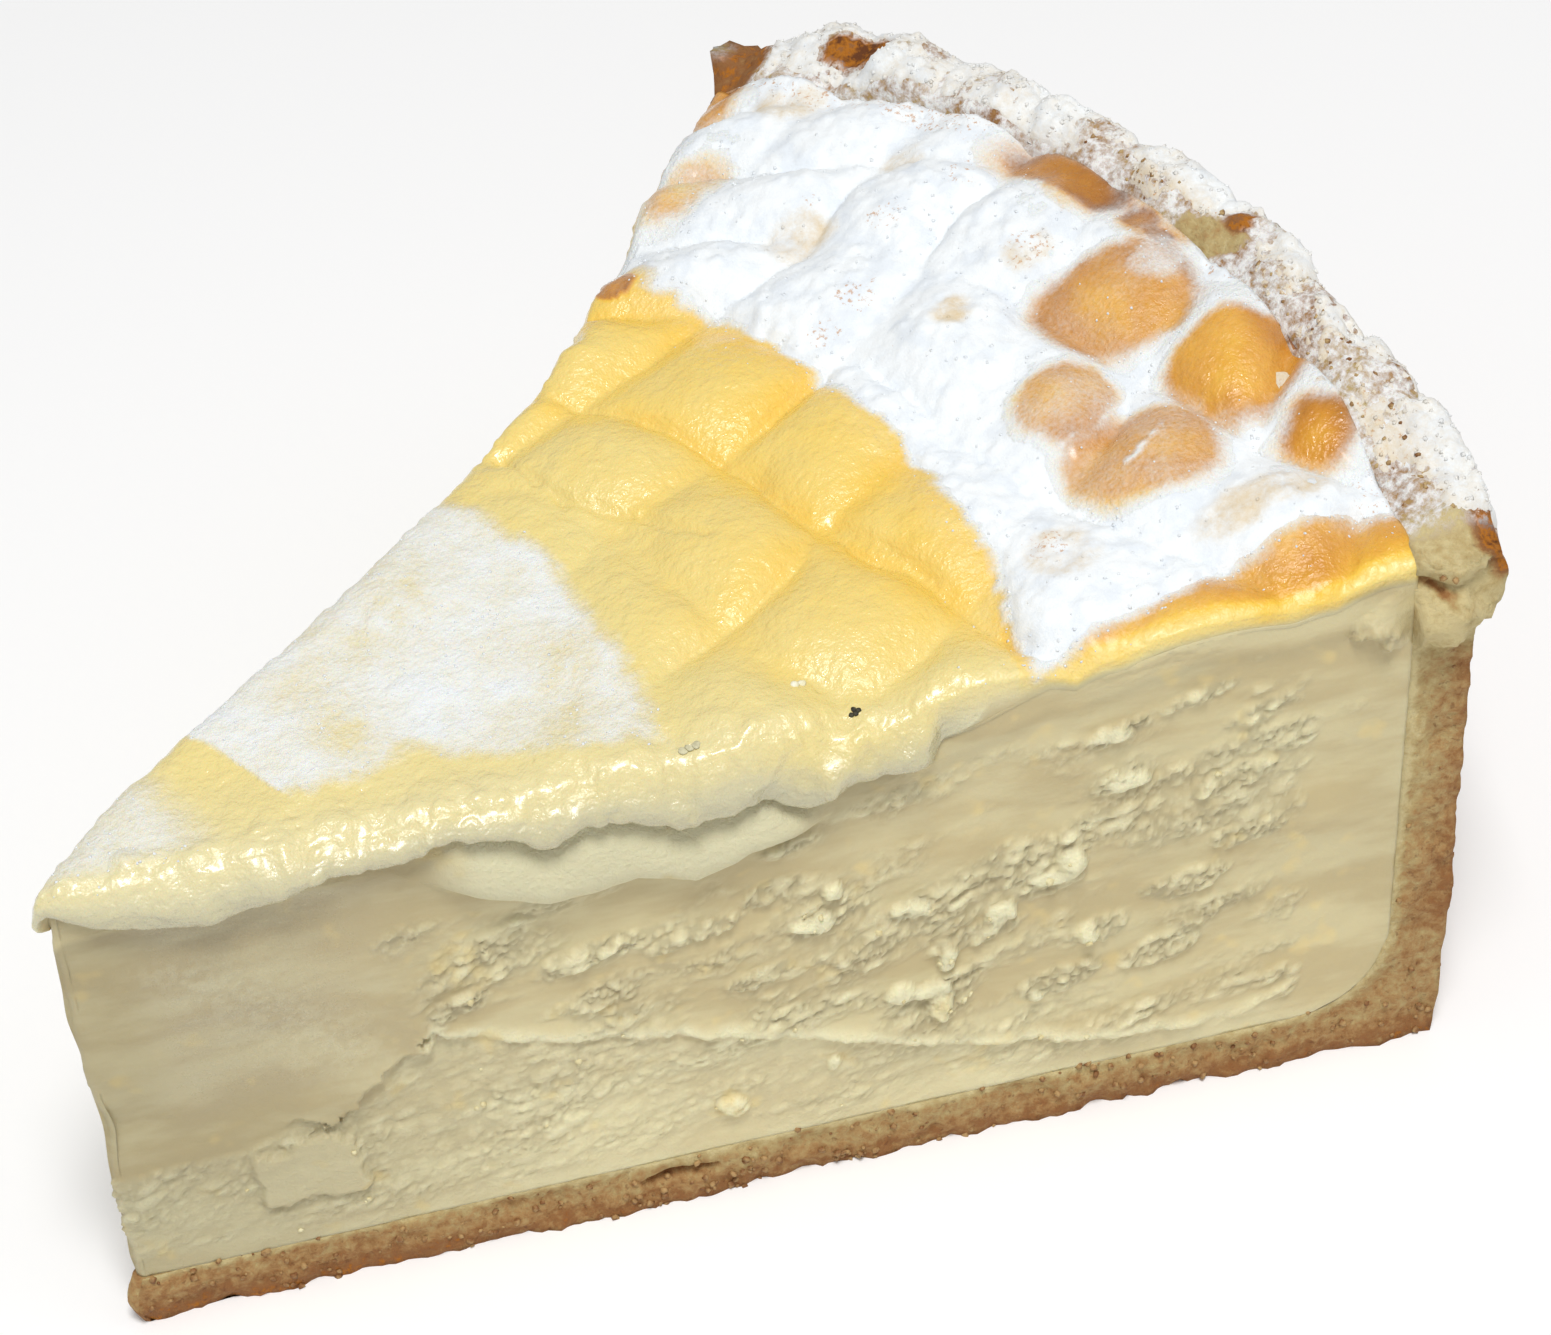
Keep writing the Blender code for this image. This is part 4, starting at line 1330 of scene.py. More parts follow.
        strokes = np.where(across < 0.5, self.solid_relief(along, height, 11), self.solid_relief(along, height, 31))
        strength = smooth(rise / 4 + 0.25)
        fine, fresh, pit_shade = np.zeros_like(along), np.zeros_like(along), np.zeros_like(along)
        front_cut = (across < 0.5) & (part < 2)
        back_cut = (across == 1) & (part < 2)
        a, h = along[front_cut], height[front_cut]
        relief, torn, pitted_shade = self.torn_relief(a, h, self.front_seed)
        raised_by, lump_fresh = self.dragged(a, h)
        buried = smooth(1 - raised_by)
        fine[front_cut] = relief * buried + raised_by
        fresh[front_cut] = np.maximum(torn * buried, lump_fresh)
        pit_shade[front_cut] = pitted_shade * buried
        a, h = along[back_cut] + self.back_start, height[back_cut]
        fine[back_cut], fresh[back_cut], pit_shade[back_cut] = self.torn_relief(a, h, self.back_seed)
        under = smooth((keys[1] - height) / 2.5)
        face = strength * (strokes + mix(0.25, 1.0, under) * fine)
        swell = curl * self.roll_thickness * np.interp(share, self.roll_shares, self.roll_round)
        swell = swell + 0.3 * strokes - 0.3 * share + 0.10 * fractal(along / 3, 0.0, height * 2, 3, 71, 3)
        thickness = mix(self.lip_out(along), self.back_lip_thickness, across)
        wobble = 1 + 0.30 * fractal(along, across, height, 5, 17, 3)
        lobe = thickness * wobble * np.interp(share, self.lip_shares, self.lip_round)
        beads = 0.22 * fractal(along, 0.0, height, 1.5, 19, 2) + 0.25 * lumps(along, height + 0.2, 1.5, 21, 0.35)
        lobe = lobe + beads * smooth(thickness / 2) * smooth(share * 6)
        offset = np.select([part == 0, part == 1], [face, swell], lobe)
        flush = smooth((along - 77) / 4) * (across < 0.5)
        level = strokes + 0.25 * fine
        offset = mix(offset, np.where(part == 2, strokes * (1 - share), level), flush * (part > 0))
        offset = offset * (1 - smooth((out - 0.97) / 0.03))
        near_front = np.where(is_top, across * along * math.sin(shape.slice_angle), 0.0)
        near_back = np.where(is_top, front * along * math.sin(shape.slice_angle), 0.0)
        at_cut = (across == 0) | (across == 1)
        fade_front = np.where(across < 0.5, bump(near_front, 1.9), 0.0)
        fade_back = np.where(across < 0.5, 0.0, bump(near_back, 1.1))
        fade = np.where(at_cut, 1.0, np.where(is_top, np.maximum(fade_front, fade_back), 0.0))
        normal = np.where(across < 0.5, 1.0, -1.0)
        at_tip = (out == 0) & ~at_cut
        step_x = np.where(at_tip, -1.0, shape.front_normal[0])
        step_y = np.where(at_tip, 0.0, shape.front_normal[1] * normal)
        fade = np.where(at_tip, 1.0, fade)
        x, y = x + step_x * offset * fade, y + step_y * offset * fade
        lumpy = 0.45 * bump(near_front, 3.4) * mix(0.55, 1.0, smooth((84 - along) / 8)) * (across < 0.5)
        lumpy = lumpy * (fractal(x, y, 0.0, 2.6, 315, 3) + 0.8 * lumps(x, y, 2.2, 317, 0.4) - 0.2)
        raised = np.where(part == 2, (self.top_detail(x, y) + lumpy) * smooth((share - 0.4) / 0.6), 0.0)
        z = height + np.where(at_cut | at_tip, tuck, 0.0) + raised

        crisp = mix(14.0, 1.3, smooth((along - 78) / 4))
        skinned = np.where(part == 2, smooth(share * crisp), 0.0)
        pale = np.where(part == 2, 1 - smooth((share - 0.1) / 0.9), 1.0) * (1 - 0.35 * across)
        bake = np.clip(TOP.bake(x, y) - 0.28 * np.where(is_top, 0, pale) * smooth((104 - along) / 14), 0, 1)
        # Painted shadow: where the crevice between the lip and the roll gets its darker tint.
        hollow = np.where(part == 2, smooth(1 - share / 0.06), 0.0)
        hollow = np.where(part == 1, smooth((share - 0.8) / 0.2), hollow)
        # Painted shade: darker towards the tip of the front cut, and a little darker near the pastry.
        shade = 0.74 + 0.26 * smooth((along - 6) / 42) - 0.03 * smooth((along - 112) / 8) * (across < 0.5)
        # Painted shadow on the face just below the roll and lip.
        under_lip_shadow = np.where(part == 0, 1 - 0.10 * bump(keys[1] - height, 2.5), 1.0)
        # A little lighter towards the foot.
        low = 1 + 0.05 * smooth((24 - height) / 12)
        # Painted shade on the lip and the roll, darker towards the tip.
        lip_shade = 1 - 0.30 * front * smooth((84 - along) / 8) * np.where(part == 2, smooth(1.1 - share), 0.5)
        cut_edge = smooth((along - 78) / 8) * smooth(1.3 - near_front / 2.5) * (across < 0.5)
        wet = 0.9 * smooth((34 - along) / 14) * smooth((along - 4) / 6) * smooth((height - 22) / 8) * (part == 0)
        values = {
            "skin": skinned,
            "bake": bake,
            # Paler where freshly torn, with a painted sheen near the tip.
            "torn": np.where(part == 0, fresh, np.where(part == 1, 0.9 * curl, 0.0)),
            "shade": np.where(part == 0, shade * under_lip_shadow * low * (1 - 0.22 * pit_shade), lip_shade),
            "gloss": np.where(part == 2, skinned * (1 - 0.7 * cut_edge), wet),
            "lip_crevice_shadow": hollow * front * 0.5 * (along < self.lip_end),
            "dust": self.dust(x, y, part, share),
            "bits": np.where(part == 0, np.clip(fresh * 1.6 - 0.5, 0, 1) * at_cut, 0.0),
            "grains": self.grains(x, y) * is_top,
        }
        return np.stack([x, y, z], axis=-1), values

    def grains(self, x: Array, y: Array) -> Array:
        """How many loose sugar grains lie on the skin, 0 to 1.

        Args:
            x, y: place in plan.

        Returns:
            The share at each place.
        """
        edge, tip = TOP.sugar_edge(x, y), TOP.tip_sugar(x, y)
        bare, _ = TOP.bare(x, y)
        beside = smooth(1 - np.abs(edge - 0.1) / 1.5) + 0.05 * smooth((edge + 7) / 6)
        within = 0.35 * smooth((edge - 1) / 2) * smooth(1 - np.abs(bare - 0.9) / 1.3)
        powdered = 0.30 * smooth((tip + 1) / 2) + 0.25 * smooth((16 - x) / 6)
        return np.clip(np.maximum(np.maximum(beside, within), powdered), 0, 1)

    def dust(self, x: Array, y: Array, part: Array, share: Array) -> Array:
        """How much loose sugar lies on the skin.

        Args:
            x, y: place in plan.
            part: part of the cut that the point is on.
            share: its share of that part.

        Returns:
            The share of it that is white.
        """
        tip = TOP.tip_sugar(x, y)
        mottled = 0.80 + 0.22 * fractal(x, y, 0.0, 6.0, 331) + 0.10 * fractal(x, y, 0.0, 1.6, 333, 3)
        thinned = np.zeros_like(x)
        for spot_x, spot_y, size in self.thin_spots:
            thinned = np.maximum(thinned, bump(np.hypot(x - spot_x, y - spot_y), size))
        solid = smooth((tip + 1.0) / 2.6) * (mottled - 0.38 * thinned * (0.7 + 0.5 * noise(x, y, 0.0, 1.5, 335)))
        near_tip = (0.66 + 0.1 * noise(x, y, 0.0, 2.0, 337)) * smooth((17 - x) / 6) * smooth((y + 0.40 * x) / 3)
        edge = TOP.sugar_edge(x, y)
        outer = smooth((edge + 0.9) / 1.6) * TOP.film(x, y)
        stray = 0.07 * smooth((edge + 5) / 5) * smooth(1 - edge)
        amount = np.maximum(np.maximum(solid, near_tip), np.maximum(outer, stray))
        return np.where(part == 2, amount * smooth((share - 0.5) / 0.35), 0.0)

    def build(self) -> bpy.types.Object:
        """Makes the piece that stands for the curd, up to the underside of its skin.

        Returns:
            The piece.
        """
        levels = self.across_levels()
        count = self.steps_face + self.steps_roll
        grid = BoxGrid((self.steps_out, len(levels) - 1, count))
        points, values = self.surface(grid.i / self.steps_out, levels[grid.j], grid.k, np.full(len(grid.i), False))
        points[:, 2] += np.where(grid.k == count, 0.4, 0.0)
        grid.side(1, 0)
        grid.side(1, -1, (2, 2))
        grid.side(0, 0, (8, 1))
        grid.side(0, -1, (6, 12))
        grid.side(2, -1, (12, 8))
        grid.lid(2, 0)
        piece = put_in_scene("curd", grid.mesh("curd", points, values), CurdFinish().material())
        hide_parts("curd_filling")
        return piece

    def build_skin(self) -> bpy.types.Object:
        """Makes the baked skin, with its smeared lip.

        Returns:
            The piece.
        """
        levels = self.across_levels()
        first = self.steps_face + self.steps_roll
        grid = BoxGrid((self.steps_out, len(levels) - 1, self.steps_lip))
        is_top = grid.k == self.steps_lip
        points, values = self.surface(grid.i / self.steps_out, levels[grid.j], grid.k + first, is_top)
        for axis, end, stride in ((1, 0, (1, 1)), (1, -1, (2, 1)), (2, -1, (1, 1))):
            grid.side(axis, end, stride)
        grid.side(0, 0, (8, 1))
        grid.side(0, -1, (6, 12))
        grid.side(2, 0, (12, 8))
        mesh = grid.mesh("baked_skin", points, values)
        return put_in_scene("baked_skin", mesh, bpy.data.materials["baked_curd"])


@dataclass(frozen=True)
class PastryShell:
    """The shortcrust shell: craggy base and wall, and a rim that browned and swelled."""

    shape: SliceShape = SHAPE
    steps_base: int = 190
    steps_corner: int = 16
    steps_wall: int = 60
    steps_rim: int = 26
    layers: int = 12
    steps_across: int = 170
    rim_foot_height: float = 50.0
    rim_overhang: float = 2.3
    rim_crest: float = 1.3
    rim_edge_drop: float = 0.7
    pastry_crag: float = 0.55
    rim_crag: float = 1.0
    toe_length: float = 1.5
    blisters: tuple[Patch, ...] = (
        Patch(123.6, 40.6, 6.8, 3.8, -60, 0.92), Patch(117.6, 53.4, 10.0, 6.0, 25, 0.70),
        Patch(124.0, -10.0, 2.6, 6.5, 10, 0.22), Patch(126.4, -11.4, 2.2, 3.0, 10, 0.80),
    )
    outer_rim_steps: tuple = (0.0, 0.12, 0.24, 0.48, 0.76, 1.0)
    inner_rim_steps: tuple = (0.0, 0.14, 0.32, 0.5, 0.74, 0.96)
    slit_at: float = 51.0

    def rim_outline(self, x: Array, y: Array) -> Array:
        """How far the rim stands out beyond its even overhang.

        Args:
            x, y: place in plan.

        Returns:
            The way out in mm.
        """
        angle = np.degrees(np.arctan2(y, x))
        out = 2.9 * bump(angle - 20.3, 3.4) + 0.6 * bump(angle + 23.0, 2.5)
        out = out + 0.9 * bump(angle + 19.0, 4.0)
        return out - 1.1 * bump(angle - 4.0, 5.0) - 0.9 * bump(angle + 11.0, 2.2)

    def rim_rise(self, x: Array, y: Array) -> Array:
        """How far the rim stands above the line of the skin."""
        angle = np.degrees(np.arctan2(y, x))
        return 2.1 * bump(angle - 15.5, 6.0) - 0.6 * smooth((angle - 22.0) / 3)

    def profile(self) -> dict[str, Array]:
        """Outer and inner side of the shell, step by step from the tip to the top of the rim.

        Returns:
            Share of the radius, height and share of the rim, for both sides.
        """
        shape = self.shape
        corner = 1 - shape.inner_corner_radius / shape.wall_inner_radius
        base = np.linspace(0, corner, self.steps_base + 1)
        turn = np.linspace(0, 1, self.steps_corner + 1)[1:]
        arc = turn * math.pi / 2
        wall = np.linspace(16, self.rim_foot_height, self.steps_wall + 1)[1:]
        rim = np.linspace(0, 5, self.steps_rim + 1)[1:]
        quarter = (0, 0.25, 0.5, 0.75, 1)
        radius = shape.inner_corner_radius
        upper = np.ones(len(wall) + len(rim))
        on_rim = np.zeros(len(rim))
        below = np.zeros(len(base) + len(turn) + len(wall))
        outer_turn = np.interp(turn, quarter, (corner, 0.962, 0.994, 1, 1))
        outer_rise = np.interp(turn, quarter, (0, 0, 0, 5, 16))
        inner_turn = corner + radius / shape.wall_inner_radius * np.sin(arc)
        inner_rise = shape.base_thickness + radius * (1 - np.cos(arc))
        floor = np.zeros(len(base))
        return {
            "outer_share": np.concatenate([base, outer_turn, upper]),
            "outer_height": np.concatenate([floor, outer_rise, wall, on_rim]),
            "outer_rim": np.concatenate([below, np.interp(rim, range(6), self.outer_rim_steps)]),
            "inner_share": np.concatenate([base, inner_turn, upper]),
            "inner_height": np.concatenate([floor + shape.base_thickness, inner_rise, wall, on_rim]),
            "inner_rim": np.concatenate([below, np.interp(rim, range(6), self.inner_rim_steps)]),
        }

    def side(self, share: Array, height: Array, rim: Array, across: Array, outer: bool) -> Array:
        """Points of the shell's outer or inner side.

        Args:
            share: share of the radius.
            height: height below the rim.
            rim: share of the rim.
            across: 0 on the front cut to 1 on the back cut.
            outer: whether it is the outer side.

        Returns:
            The points.
        """
        shape = self.shape
        radius = shape.cake_radius if outer else shape.wall_inner_radius
        x, y = shape.plan(share, across, radius, height)
        top = shape.skin_height(x, y) + shape.rim_groove * bump(shape.from_middle(x, y) - shape.curd_radius, 2.6)
        raised = mix(self.rim_foot_height, top - self.rim_edge_drop, rim) + smooth(rim) * self.rim_rise(x, y)
        on_rim = rim > 0
        tall = np.where(on_rim, raised, height)
        if outer:
            bulge = smooth((rim - 0.12) / 0.5) * (1 - 0.45 * smooth((rim - 0.75) / 0.25))
            reach = self.rim_overhang * bulge + self.rim_outline(x, y) * smooth(rim * 2.5)
            reach = reach + self.rim_crag * 0.6 * crags(x, y, tall, 6, 51) * smooth(rim * 3)
            rough = 0.3 * crags(x, y, height, 7, 71) * (share >= 0.99) * (height > 0)
            reach = np.where(on_rim, reach, rough)
            skin = smooth((share - 0.985) * 200)
            reach = reach + skin * 0.22 * fractal(x, y, tall, 2.4, 401) * (tall > 0.8)
        else:
            reach = np.where(on_rim, -0.1 - 0.25 * smooth(rim) * (1 + crags(x, y, tall, 5, 61)), -0.02)
        x, y = shape.plan(share, across, radius + reach, tall)
        return np.stack([x, y, tall], axis=-1)

    def surface(self, step: Array, across: Array, layer: Array) -> tuple[Array, dict[str, Array]]:
        """Points of the shell's surface.

        Args:
            step: step of the profile.
            across: 0 on the front cut to 1 on the back cut.
            layer: 0 outside to 1 inside.

        Returns:
            The points, and the named values for the material.
        """
        shape = self.shape
        profile = self.profile()
        count = len(profile["inner_rim"]) - 1
        path = {key: np.interp(step, np.arange(count + 1), value) for key, value in profile.items()}
        outer = self.side(path["outer_share"], path["outer_height"], path["outer_rim"], across, True)
        inner = self.side(path["inner_share"], path["inner_height"], path["inner_rim"], across, False)
        point = mix(outer, inner, layer[:, None])
        x, y, z = point[:, 0].copy(), point[:, 1].copy(), point[:, 2].copy()
        rim = path["inner_rim"]
        last = smooth((mix(path["outer_rim"], rim, layer) - 0.86) / 0.12)
        at_front = smooth(1 - across * 22)
        hump = self.rim_crest * np.clip(np.sin(math.pi * layer), 0, 1) ** 0.6 * (1 - 0.6 * at_front)
        up = hump + self.rim_crag * crags(x, y, 0.0, 5, 81) * (0.3 + hump / self.rim_crest)
        up = up + 0.6 * fractal(x, y, 0.0, 2.4, 403) + 0.5 * lumps(x, y, 1.7, 415, 0.55)
        z = z + last * up * (step >= count - 0.001)
        at_cut = (across == 0) | (across == 1)
        back = across > 0.5
        out = self.pastry_crag * crags(x, y, z, 4, 91)
        out = out + 0.5 * fractal(x, y, z, 1.9, 405, 4) + 0.25 * lumps(np.hypot(x, y), z + 50, 1.3, 407, 0.5)
        out = out * (1 - 0.75 * smooth((layer - 0.75) / 0.25))
        out = out + np.where(back, 1.7, 0.5) * bump(layer - 0.45, 0.4) * smooth(rim * 3)
        along = np.hypot(x, y)
        jag = fractal(along, 0.0, z, 2.2, 43, 4)
        lump = np.hypot((along - 120.8) / 5.8, (z - 54.8) / 3.1) + 0.4 * jag
        lump = np.sqrt(np.clip(1 - lump**2, 0, 1)) * ~back
        upper = np.hypot((along - 124.0) / 3.6, (z - 62.0) / 3.2) + 0.4 * jag
        out = out + 2.1 * lump + 1.3 * np.sqrt(np.clip(1 - upper**2, 0, 1)) * ~back
        from_slit = along - self.slit_at
        slit = bump(z - 3.6 - 0.08 * from_slit, 0.45) * smooth((4.5 - np.abs(from_slit)) / 2)
        out = out - 1.3 * slit * ~back
        ledge = smooth(rim * 6) * ~back
        groove = bump(z - 58.4 - 0.7 * noise(along, 0.0, 0.0, 2.2, 409) + 0.12 * (along - 121), 0.5) * ledge
        groove = groove * smooth((124.2 - along) / 1.5)
        out = out - 1.1 * groove + 0.5 * ledge * bump(z - 55.5, 2.6)
        step_x = np.where(at_cut, shape.front_normal[0] * out, 0.0)
        step_y = np.where(at_cut, shape.front_normal[1] * out * np.where(back, -1, 1), 0.0)
        x, y = x + step_x, y + step_y
        start = np.clip(1 - path["outer_share"] / 0.035, 0, 1)
        x = x - start * self.toe_length * bump(layer - 0.45, 0.5) * (1 + 0.3 * crags(x, y, z, 2, 95))

        outside = 1 - layer
        bake = 0.32 + 0.27 * smooth(1 - z / 4.4) * at_cut + 0.05 * smooth((along - 60) / 50)
        bake = bake + 0.12 * smooth((46 - along) / 30) * ~back
        on_wall = smooth((z - 12) / 6)
        wall = 0.20 + 0.30 * outside**1.5 + 0.16 * smooth((38 - z) / 24)
        bake = mix(bake, np.where(at_cut, wall, 0.52), on_wall)
        dough = smooth((z - 49) / 3)
        browned = smooth((outside - 0.74) / 0.2) * smooth((z - 57) / 2)
        bake = mix(bake, 0.02 + 0.80 * browned, dough * at_cut)
        bake = bake + 0.7 * groove * smooth((layer - 0.3) / 0.3) + 0.35 * slit
        bake = bake - 0.3 * smooth((layer - 0.8) / 0.2) * at_cut - 0.1 * lump
        shell = np.clip(0.50 + 0.10 * noise(x, y, z, 12, 411) + 0.25 * smooth((z - 54) / 6), 0, 1)
        bake = np.where(at_cut, bake, np.where(layer < 0.5, shell, 0.4))
        crown = last * (step >= count - 0.001)
        crowned = 0.52 + 0.22 * noise(x, y, 0.0, 3.0, 413)
        from_front = across * along * math.sin(shape.slice_angle)
        crowned = mix(0.12 + 0.8 * smooth((outside - 0.62) / 0.25), crowned, smooth((from_front - 2.5) / 3))
        bake = np.where((crown > 0.5) & ~at_cut, crowned, bake)
        dusted = 0.55 * smooth((z - 57) / 5) * (1 - 0.8 * at_cut)
        dusted = np.where(crown > 0.5, 0.62 + 0.2 * noise(x, y, 0.0, 2.5, 417), dusted)
        dusted = dusted * smooth((from_front - 1.5) / 3)
        on_base = at_cut & (z < 8)
        for patch in self.blisters:
            warp = 0.9 * fractal(x, y, z, 2.6, 435, 4)
            spot = smooth((1.3 - patch.away(x + warp, y - warp)) / 0.3) * (z > 52)
            bake, dusted = mix(bake, patch.bake, spot), dusted * (1 - spot)
        crumbs = np.where(on_base, 0.5 + 0.5 * smooth(2 * noise(along, 0.0, 0.0, 6.0, 419)), 0.12 * at_cut)
        hanging = bump(along - 56.5, 3.0) + bump(along - 68.0, 2.0)
        crumbs = crumbs + np.where(on_base & (z < 2.5) & ~back, 3.5 * hanging, 0.0)
        values = {"bake": np.clip(bake, 0, 1), "dust": dusted * ~((along < 118) & at_cut), "crumbs": crumbs}
        return np.stack([x, y, z], axis=-1), values

    def build(self) -> bpy.types.Object:
        """Makes the piece that stands for the shell.

        Returns:
            The piece.
        """
        count = self.steps_base + self.steps_corner + self.steps_wall + self.steps_rim
        grid = BoxGrid((count, self.steps_across, self.layers))
        across = grid.j / self.steps_across
        points, values = self.surface(grid.i.astype(float), across, grid.k / self.layers)
        bend = self.steps_base + 4
        foot = slice(0, bend + 1)
        wall = slice(bend, None)
        for axis, end in ((1, 0), (1, -1), (0, 0), (0, -1)):
            grid.side(axis, end)
        grid.side(2, 0, (12, 12), foot)
        grid.side(2, 0, (1, 1), wall)
        grid.side(2, -1, (12, 12), foot)
        grid.side(2, -1, (6, 6), wall)
        mesh = grid.mesh("pastry", points, values)
        piece = put_in_scene("pastry", mesh, PastryFinish().material())
        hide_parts("pastry_shell")
        return piece


@dataclass(frozen=True)
class SugarCover:
    """Powdered sugar on the outer part of the top and over the rim, as closed sheets."""

    curd: CurdWedge
    pastry: PastryShell
    start: float = 0.70
    steps_out: int = 100
    steps_across: int = 250
    depth: float = 1.15
    thickness: float = 0.42
    rim_steps: int = 44

    def amount(self, x: Array, y: Array) -> tuple[Array, Array, Array]:
        """The sugar at a place.

        Args:
            x, y: place in plan.

        Returns:
            Its thickness, under 0 where there is none, how thin it looks, and how spotted.
        """
        edge = TOP.sugar_edge(x, y)
        bare, _ = TOP.bare(x, y)
        fine = 0.34 * fractal(x, y, 0.0, 3.4, 421, 5) + 0.14 * fractal(x, y, 0.0, 1.0, 423, 2)
        fine = fine + 0.20 * lumps(x, y, 1.7, 429, 0.5)
        _, away, aside = SHAPE.quilt(x, y)
        filled = 0.18 * np.maximum(bump(away, 1.4), bump(aside, 1.4))
        from_cut = SHAPE.share_across(x, y) * np.hypot(x, y) * math.sin(SHAPE.slice_angle)
        inside = np.minimum(np.minimum((edge - 0.6) * 0.9, (bare - 1.6) * 0.3), (from_cut - 1.6) * 0.8)
        thick = self.thickness * np.clip(inside, -2.0, 1) + smooth(inside / 0.4) * (fine + filled)
        cloud = np.clip(0.6 + 0.7 * fractal(x, y, 0.0, 4.0, 425), 0, 1)
        faint = TOP.within(TOP.faint, x, y) * cloud
        thin = np.clip(1 - TOP.film(x, y) + 0.85 * faint, 0, 0.9)
        speckled = TOP.within(TOP.speckled, x, y)
        spots = np.clip(0.9 * speckled + 0.25 * faint + 0.15 * smooth(1 - edge / 1.5), 0, 1)
        gutter = smooth((SHAPE.from_middle(x, y) - 118.5) / 3)
        crumbly = smooth(2.2 * fractal(x, y, 0.0, 4.0, 427) - 0.1)
        return thick - 0.5 * gutter * crumbly, thin, np.clip(spots + 0.8 * gutter, 0, 1)

    def close(self, name: str, grid: BoxGrid, points: Array, values: dict[str, Array]) -> bpy.types.Object:
        """Closes a sheet and puts it in the scene.

        Args:
            name: its name.
            grid: its grid.
            points: the grid's points.
            values: named values for the material.

        Returns:
            The piece.
        """
        for axis, end in ((0, 0), (0, -1), (1, 0), (1, -1), (2, -1)):
            grid.side(axis, end)
        grid.side(2, 0, (9, 9))
        return put_in_scene(name, grid.mesh(name, points, values), SUGAR)

    def build_field(self) -> bpy.types.Object:
        """Makes the sheet on the baked top.

        Returns:
            The piece.
        """
        grid = BoxGrid((self.steps_out, self.steps_across, 1))
        out = mix(self.start, 0.9985, grid.i / self.steps_out)
        across = mix(0.014, 0.994, grid.j / self.steps_across)
        top_row = np.full(len(out), self.curd.steps_face + self.curd.steps_roll + self.curd.steps_lip)
        points, _ = self.curd.surface(out, across, top_row, np.full(len(out), True))
        thick, thin, spots = self.amount(points[:, 0], points[:, 1])
        lift = np.where(grid.k == 1, thick, -self.depth)
        points[:, 2] += np.minimum(lift, self.depth)
        powder = np.where((grid.k == 1) & (thick > 0), 0.25 + 0.75 * smooth(1 - thick / 0.35), 0.0)
        return self.close("sugar_on_top", grid, points, {"thin": thin, "spots": spots, "powder": powder})

    def build_rim(self) -> bpy.types.Object:
        """Makes the sheet over the rim.

        Returns:
            The piece.
        """
        steps = self.rim_steps
        grid = BoxGrid((steps, self.steps_across, 1))
        count = len(self.pastry.profile()["inner_rim"]) - 1
        way = np.linspace(0, 1, steps + 1)
        layer = np.clip(1 - way / 0.62, 0, 1)
        step = count - 9.0 * np.clip((way - 0.62) / 0.38, 0, 1)
        across = np.linspace(0.001, 0.999, self.steps_across + 1)
        flat = np.meshgrid(way, across, indexing="ij")
        lay = np.interp(flat[0], way, layer).ravel()
        at = np.interp(flat[0], way, step).ravel()
        sheet, _ = self.pastry.surface(at, flat[1].ravel(), lay)
        sheet = sheet.reshape(steps + 1, self.steps_across + 1, 3)
        turned = np.cross(np.gradient(sheet, axis=0), np.gradient(sheet, axis=1))
        turned /= np.linalg.norm(turned, axis=-1, keepdims=True) + 1e-9
        turned *= np.sign(turned[..., 2:3].mean())
        x, y = sheet[..., 0], sheet[..., 1]
        cover = 0.55 * fractal(x, y, sheet[..., 2], 4.5, 431, 5) + 0.16
        near_front = flat[1] * 108
        cover = cover - 1.5 * smooth(1 - (near_front - 1.0) / 3.4)
        cover = cover - 1.6 * smooth((flat[0] - 0.72) / 0.28) - 0.6 * smooth(1 - flat[0] / 0.1)
        craggy = bump(flat[0] - 0.16, 0.16) * smooth((12 - y) / 8)
        cover = cover - 0.38 * craggy
        for patch in self.pastry.blisters:
            warp = 0.9 * fractal(x, y, sheet[..., 2], 2.6, 435, 4)
            cover = cover - 1.8 * smooth((1.35 - patch.away(x + warp, y - warp)) / 0.35)
        thick = np.clip(0.75 * cover, -0.5, 0.34) + 0.06 * noise(x, y, sheet[..., 2], 1.0, 433)
        chosen = (grid.i, grid.j)
        lift = np.where(grid.k == 1, thick[chosen], -self.depth)
        points = sheet[chosen] + turned[chosen] * lift[:, None]
        spots = np.clip(0.34 + 0.50 * craggy[chosen] - 0.7 * thick[chosen], 0, 1)
        thin = np.clip(0.36 + 0.30 * craggy[chosen] - 0.8 * thick[chosen], 0, 1)
        upper = grid.k == 1
        flakes = np.where(upper, smooth(craggy[chosen] * 1.6) * smooth(1.2 - 2 * thick[chosen]), 0.0)
        powder = np.where(upper & (thick[chosen] > -0.1), 0.8, 0.0)
        values = {"thin": thin, "spots": spots, "powder": powder, "flakes": flakes}
        return self.close("sugar_on_rim", grid, points, values)


